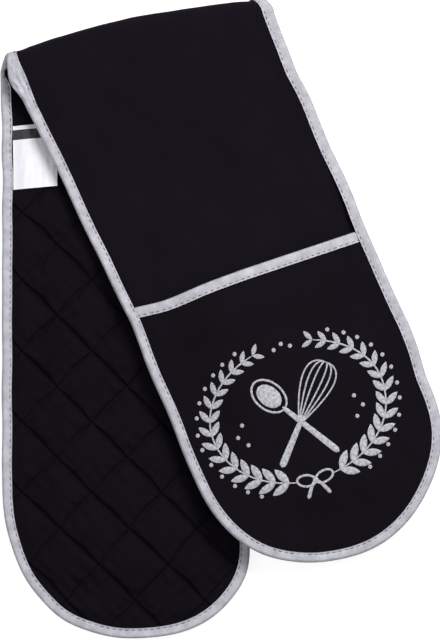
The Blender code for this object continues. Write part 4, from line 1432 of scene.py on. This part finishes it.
LABEL_WIDTH = 0.0325
LABEL_LENGTH = 0.0466
LABEL_THICKNESS = 0.0004
LABEL_PLACE = 0.0680
LABEL_SLANT = 0.090
LABEL_STEP = 0.0006
LABEL_BAND_START = 0.0030
LABEL_BAND_WIDTH = 0.0073
LABEL_RISE = 0.0026
LABEL_RISE_REACH = 0.010
LABEL_RIPPLE = 0.00022
LABEL_RIPPLE_SIZE = 0.0052
LABEL_RIPPLE_STRETCH = 0.12


def satin(name, dark, light, band):
    """Polyester satin: smooth, softly glossy, with very fine ribs across; the band is woven in dark."""
    ribbon = Surface(name, Roughness=0.42, Specular_IOR_Level=0.4, Sheen_Weight=0.1)
    down = add_node(ribbon.tree, "ShaderNodeSeparateXYZ", {"Vector": ribbon.place}).outputs["Y"]
    middle = LABEL_BAND_START + LABEL_BAND_WIDTH / 2
    inside = result_of(ribbon.tree, "COMPARE", down, middle, LABEL_BAND_WIDTH / 2)
    ribbon.paint(inside, ribbon.between(ribbon.noise(density=180.0, detail=2.0), dark, light), band)
    ribbon.emboss(ribbon.ridges(pitch=0.0008, turn=0.0), distance=0.00006)
    return ribbon.material


white_satin = satin("white_satin_ribbon", "#E4E2E8", "#F4F2F7", "#2C2B30")

rows = round(LABEL_LENGTH / LABEL_STEP)
columns = round(LABEL_WIDTH / LABEL_STEP)
down, out = np.meshgrid(np.linspace(0, 1, rows + 1), np.linspace(0, 1, columns + 1), indexing="ij")
seam = HALF_WIDTH - BINDING_WIDTH - TAPE_THICKNESS
across = -seam + LABEL_WIDTH * out
along = REAR.along_at(across, LABEL_PLACE + LABEL_LENGTH * down - LABEL_SLANT * LABEL_WIDTH * out)
ripple = LABEL_RIPPLE * waves(across, along * LABEL_RIPPLE_STRETCH, LABEL_RIPPLE_SIZE, seed=91)
risen = smooth(LABEL_WIDTH * out / LABEL_RISE_REACH) * (LABEL_RISE + ripple)
lie = strip_thickness(REAR, across, along) + LAYER_GAP + risen
under = strip_point(REAR, across, along, lie)
upper = strip_point(REAR, across, along, lie + LABEL_THICKNESS)
piece = layer("care_label_ribbon", LABEL_WIDTH * out, LABEL_LENGTH * down, under, upper, white_satin)
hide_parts("care_label")
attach(piece, "rear_half")


# Table, studio light and camera
# A plain pale table that the camera sees as white and that keeps a faint shadow, a soft window high on the
# upper right, a weak lamp on the left and a pale room all round. The camera looks straight down through a
# long lens, and is turned so that the front half hangs a little to the right.

CAMERA_TURN = math.radians(11.8)
VIEW_HEIGHT = 0.4682
VIEW_CENTRE = (FOLD_PLACE[0] + 0.01975, FOLD_PLACE[1] - 0.2194)
VIEW_LEVEL = 0.012
LENS = 180.0
SENSOR = 36.0
TABLE_SIZE = 4.0
TABLE_DROP = 0.0004
TABLE_GLOW = 0.84
ROOM_LIGHT = 0.40
ROOM_COLOUR = (0.97, 0.97, 1.0, 1.0)
PURE_WHITE = (1.0, 1.0, 1.0, 1.0)


def rays_of(tree, *kinds):
    """1 for rays of those kinds and 0 for the rest."""
    rays = add_node(tree, "ShaderNodeLightPath").outputs
    share = rays[f"Is {kinds[0]} Ray"]
    for kind in kinds[1:]:
        share = result_of(tree, "MAXIMUM", share, rays[f"Is {kind} Ray"])
    return share


def show(tree, end, share, first, second):
    """Join two shaders by share and connect them to the tree's end."""
    shown = add_node(tree, "ShaderNodeMixShader", {0: share, 1: first, 2: second}).outputs["Shader"]
    tree.links.new(shown, tree.nodes[end].inputs["Surface"])


def table_top(name):
    """Matt board, white where it is seen directly but for its shadows, and pale grey to all other light."""
    board = Surface(name, Roughness=0.9, Specular_IOR_Level=0.0, Base_Color=linear("#A8A8A8"))
    matt = board.shader.outputs["BSDF"]
    glow = add_node(board.tree, "ShaderNodeEmission", {"Color": PURE_WHITE, "Strength": TABLE_GLOW})
    white = add_node(board.tree, "ShaderNodeAddShader", {0: matt, 1: glow.outputs["Emission"]})
    show(board.tree, "Material Output", rays_of(board.tree, "Camera", "Glossy", "Transmission"), matt,
         white.outputs["Shader"])
    return board.material


reach = TABLE_SIZE / 2
corners = [(x * reach, y * reach, -TABLE_DROP) for x, y in ((-1, -1), (1, -1), (1, 1), (-1, 1))]
mesh = bpy.data.meshes.new("table_top")
mesh.from_pydata(corners, [], [(0, 1, 2, 3)])
mesh.materials.append(table_top("matt_white_board"))
in_scene(bpy.data.objects.new("table_top", mesh))

world = bpy.data.worlds.new("pale_studio")
bpy.context.scene.world = world
world.use_nodes = True
room = world.node_tree.nodes["Background"]
room.inputs["Color"].default_value = ROOM_COLOUR
room.inputs["Strength"].default_value = ROOM_LIGHT
white = add_node(world.node_tree, "ShaderNodeBackground", {"Color": PURE_WHITE, "Strength": 1.0})
show(world.node_tree, "World Output", rays_of(world.node_tree, "Camera", "Transmission"),
     room.outputs["Background"], white.outputs["Background"])


def soft_lamp(name, place, size, power):
    """Square lamp that points at the middle of the object."""
    lamp = bpy.data.lights.new(name, "AREA")
    lamp.shape = "SQUARE"
    lamp.size = size
    lamp.energy = power
    made = in_scene(bpy.data.objects.new(name, lamp))
    made.location = place
    made.rotation_euler = (-Vector(place)).to_track_quat("-Z", "Y").to_euler()


soft_lamp("window_lamp", place=(0.85, 0.85, 1.60), size=0.8, power=36.0)
soft_lamp("fill_lamp", place=(-1.5, 0.2, 1.6), size=1.4, power=6.0)

distance = VIEW_HEIGHT * LENS / SENSOR
lens = bpy.data.cameras.new("camera")
lens.lens = LENS
lens.sensor_width = SENSOR
lens.clip_start = distance / 100
lens.clip_end = distance * 10
camera = in_scene(bpy.data.objects.new("camera", lens))
camera.location = (*VIEW_CENTRE, VIEW_LEVEL + distance)
camera.rotation_euler = (0.0, 0.0, -CAMERA_TURN)
bpy.context.scene.camera = camera
bpy.context.scene.view_settings.view_transform = "Standard"
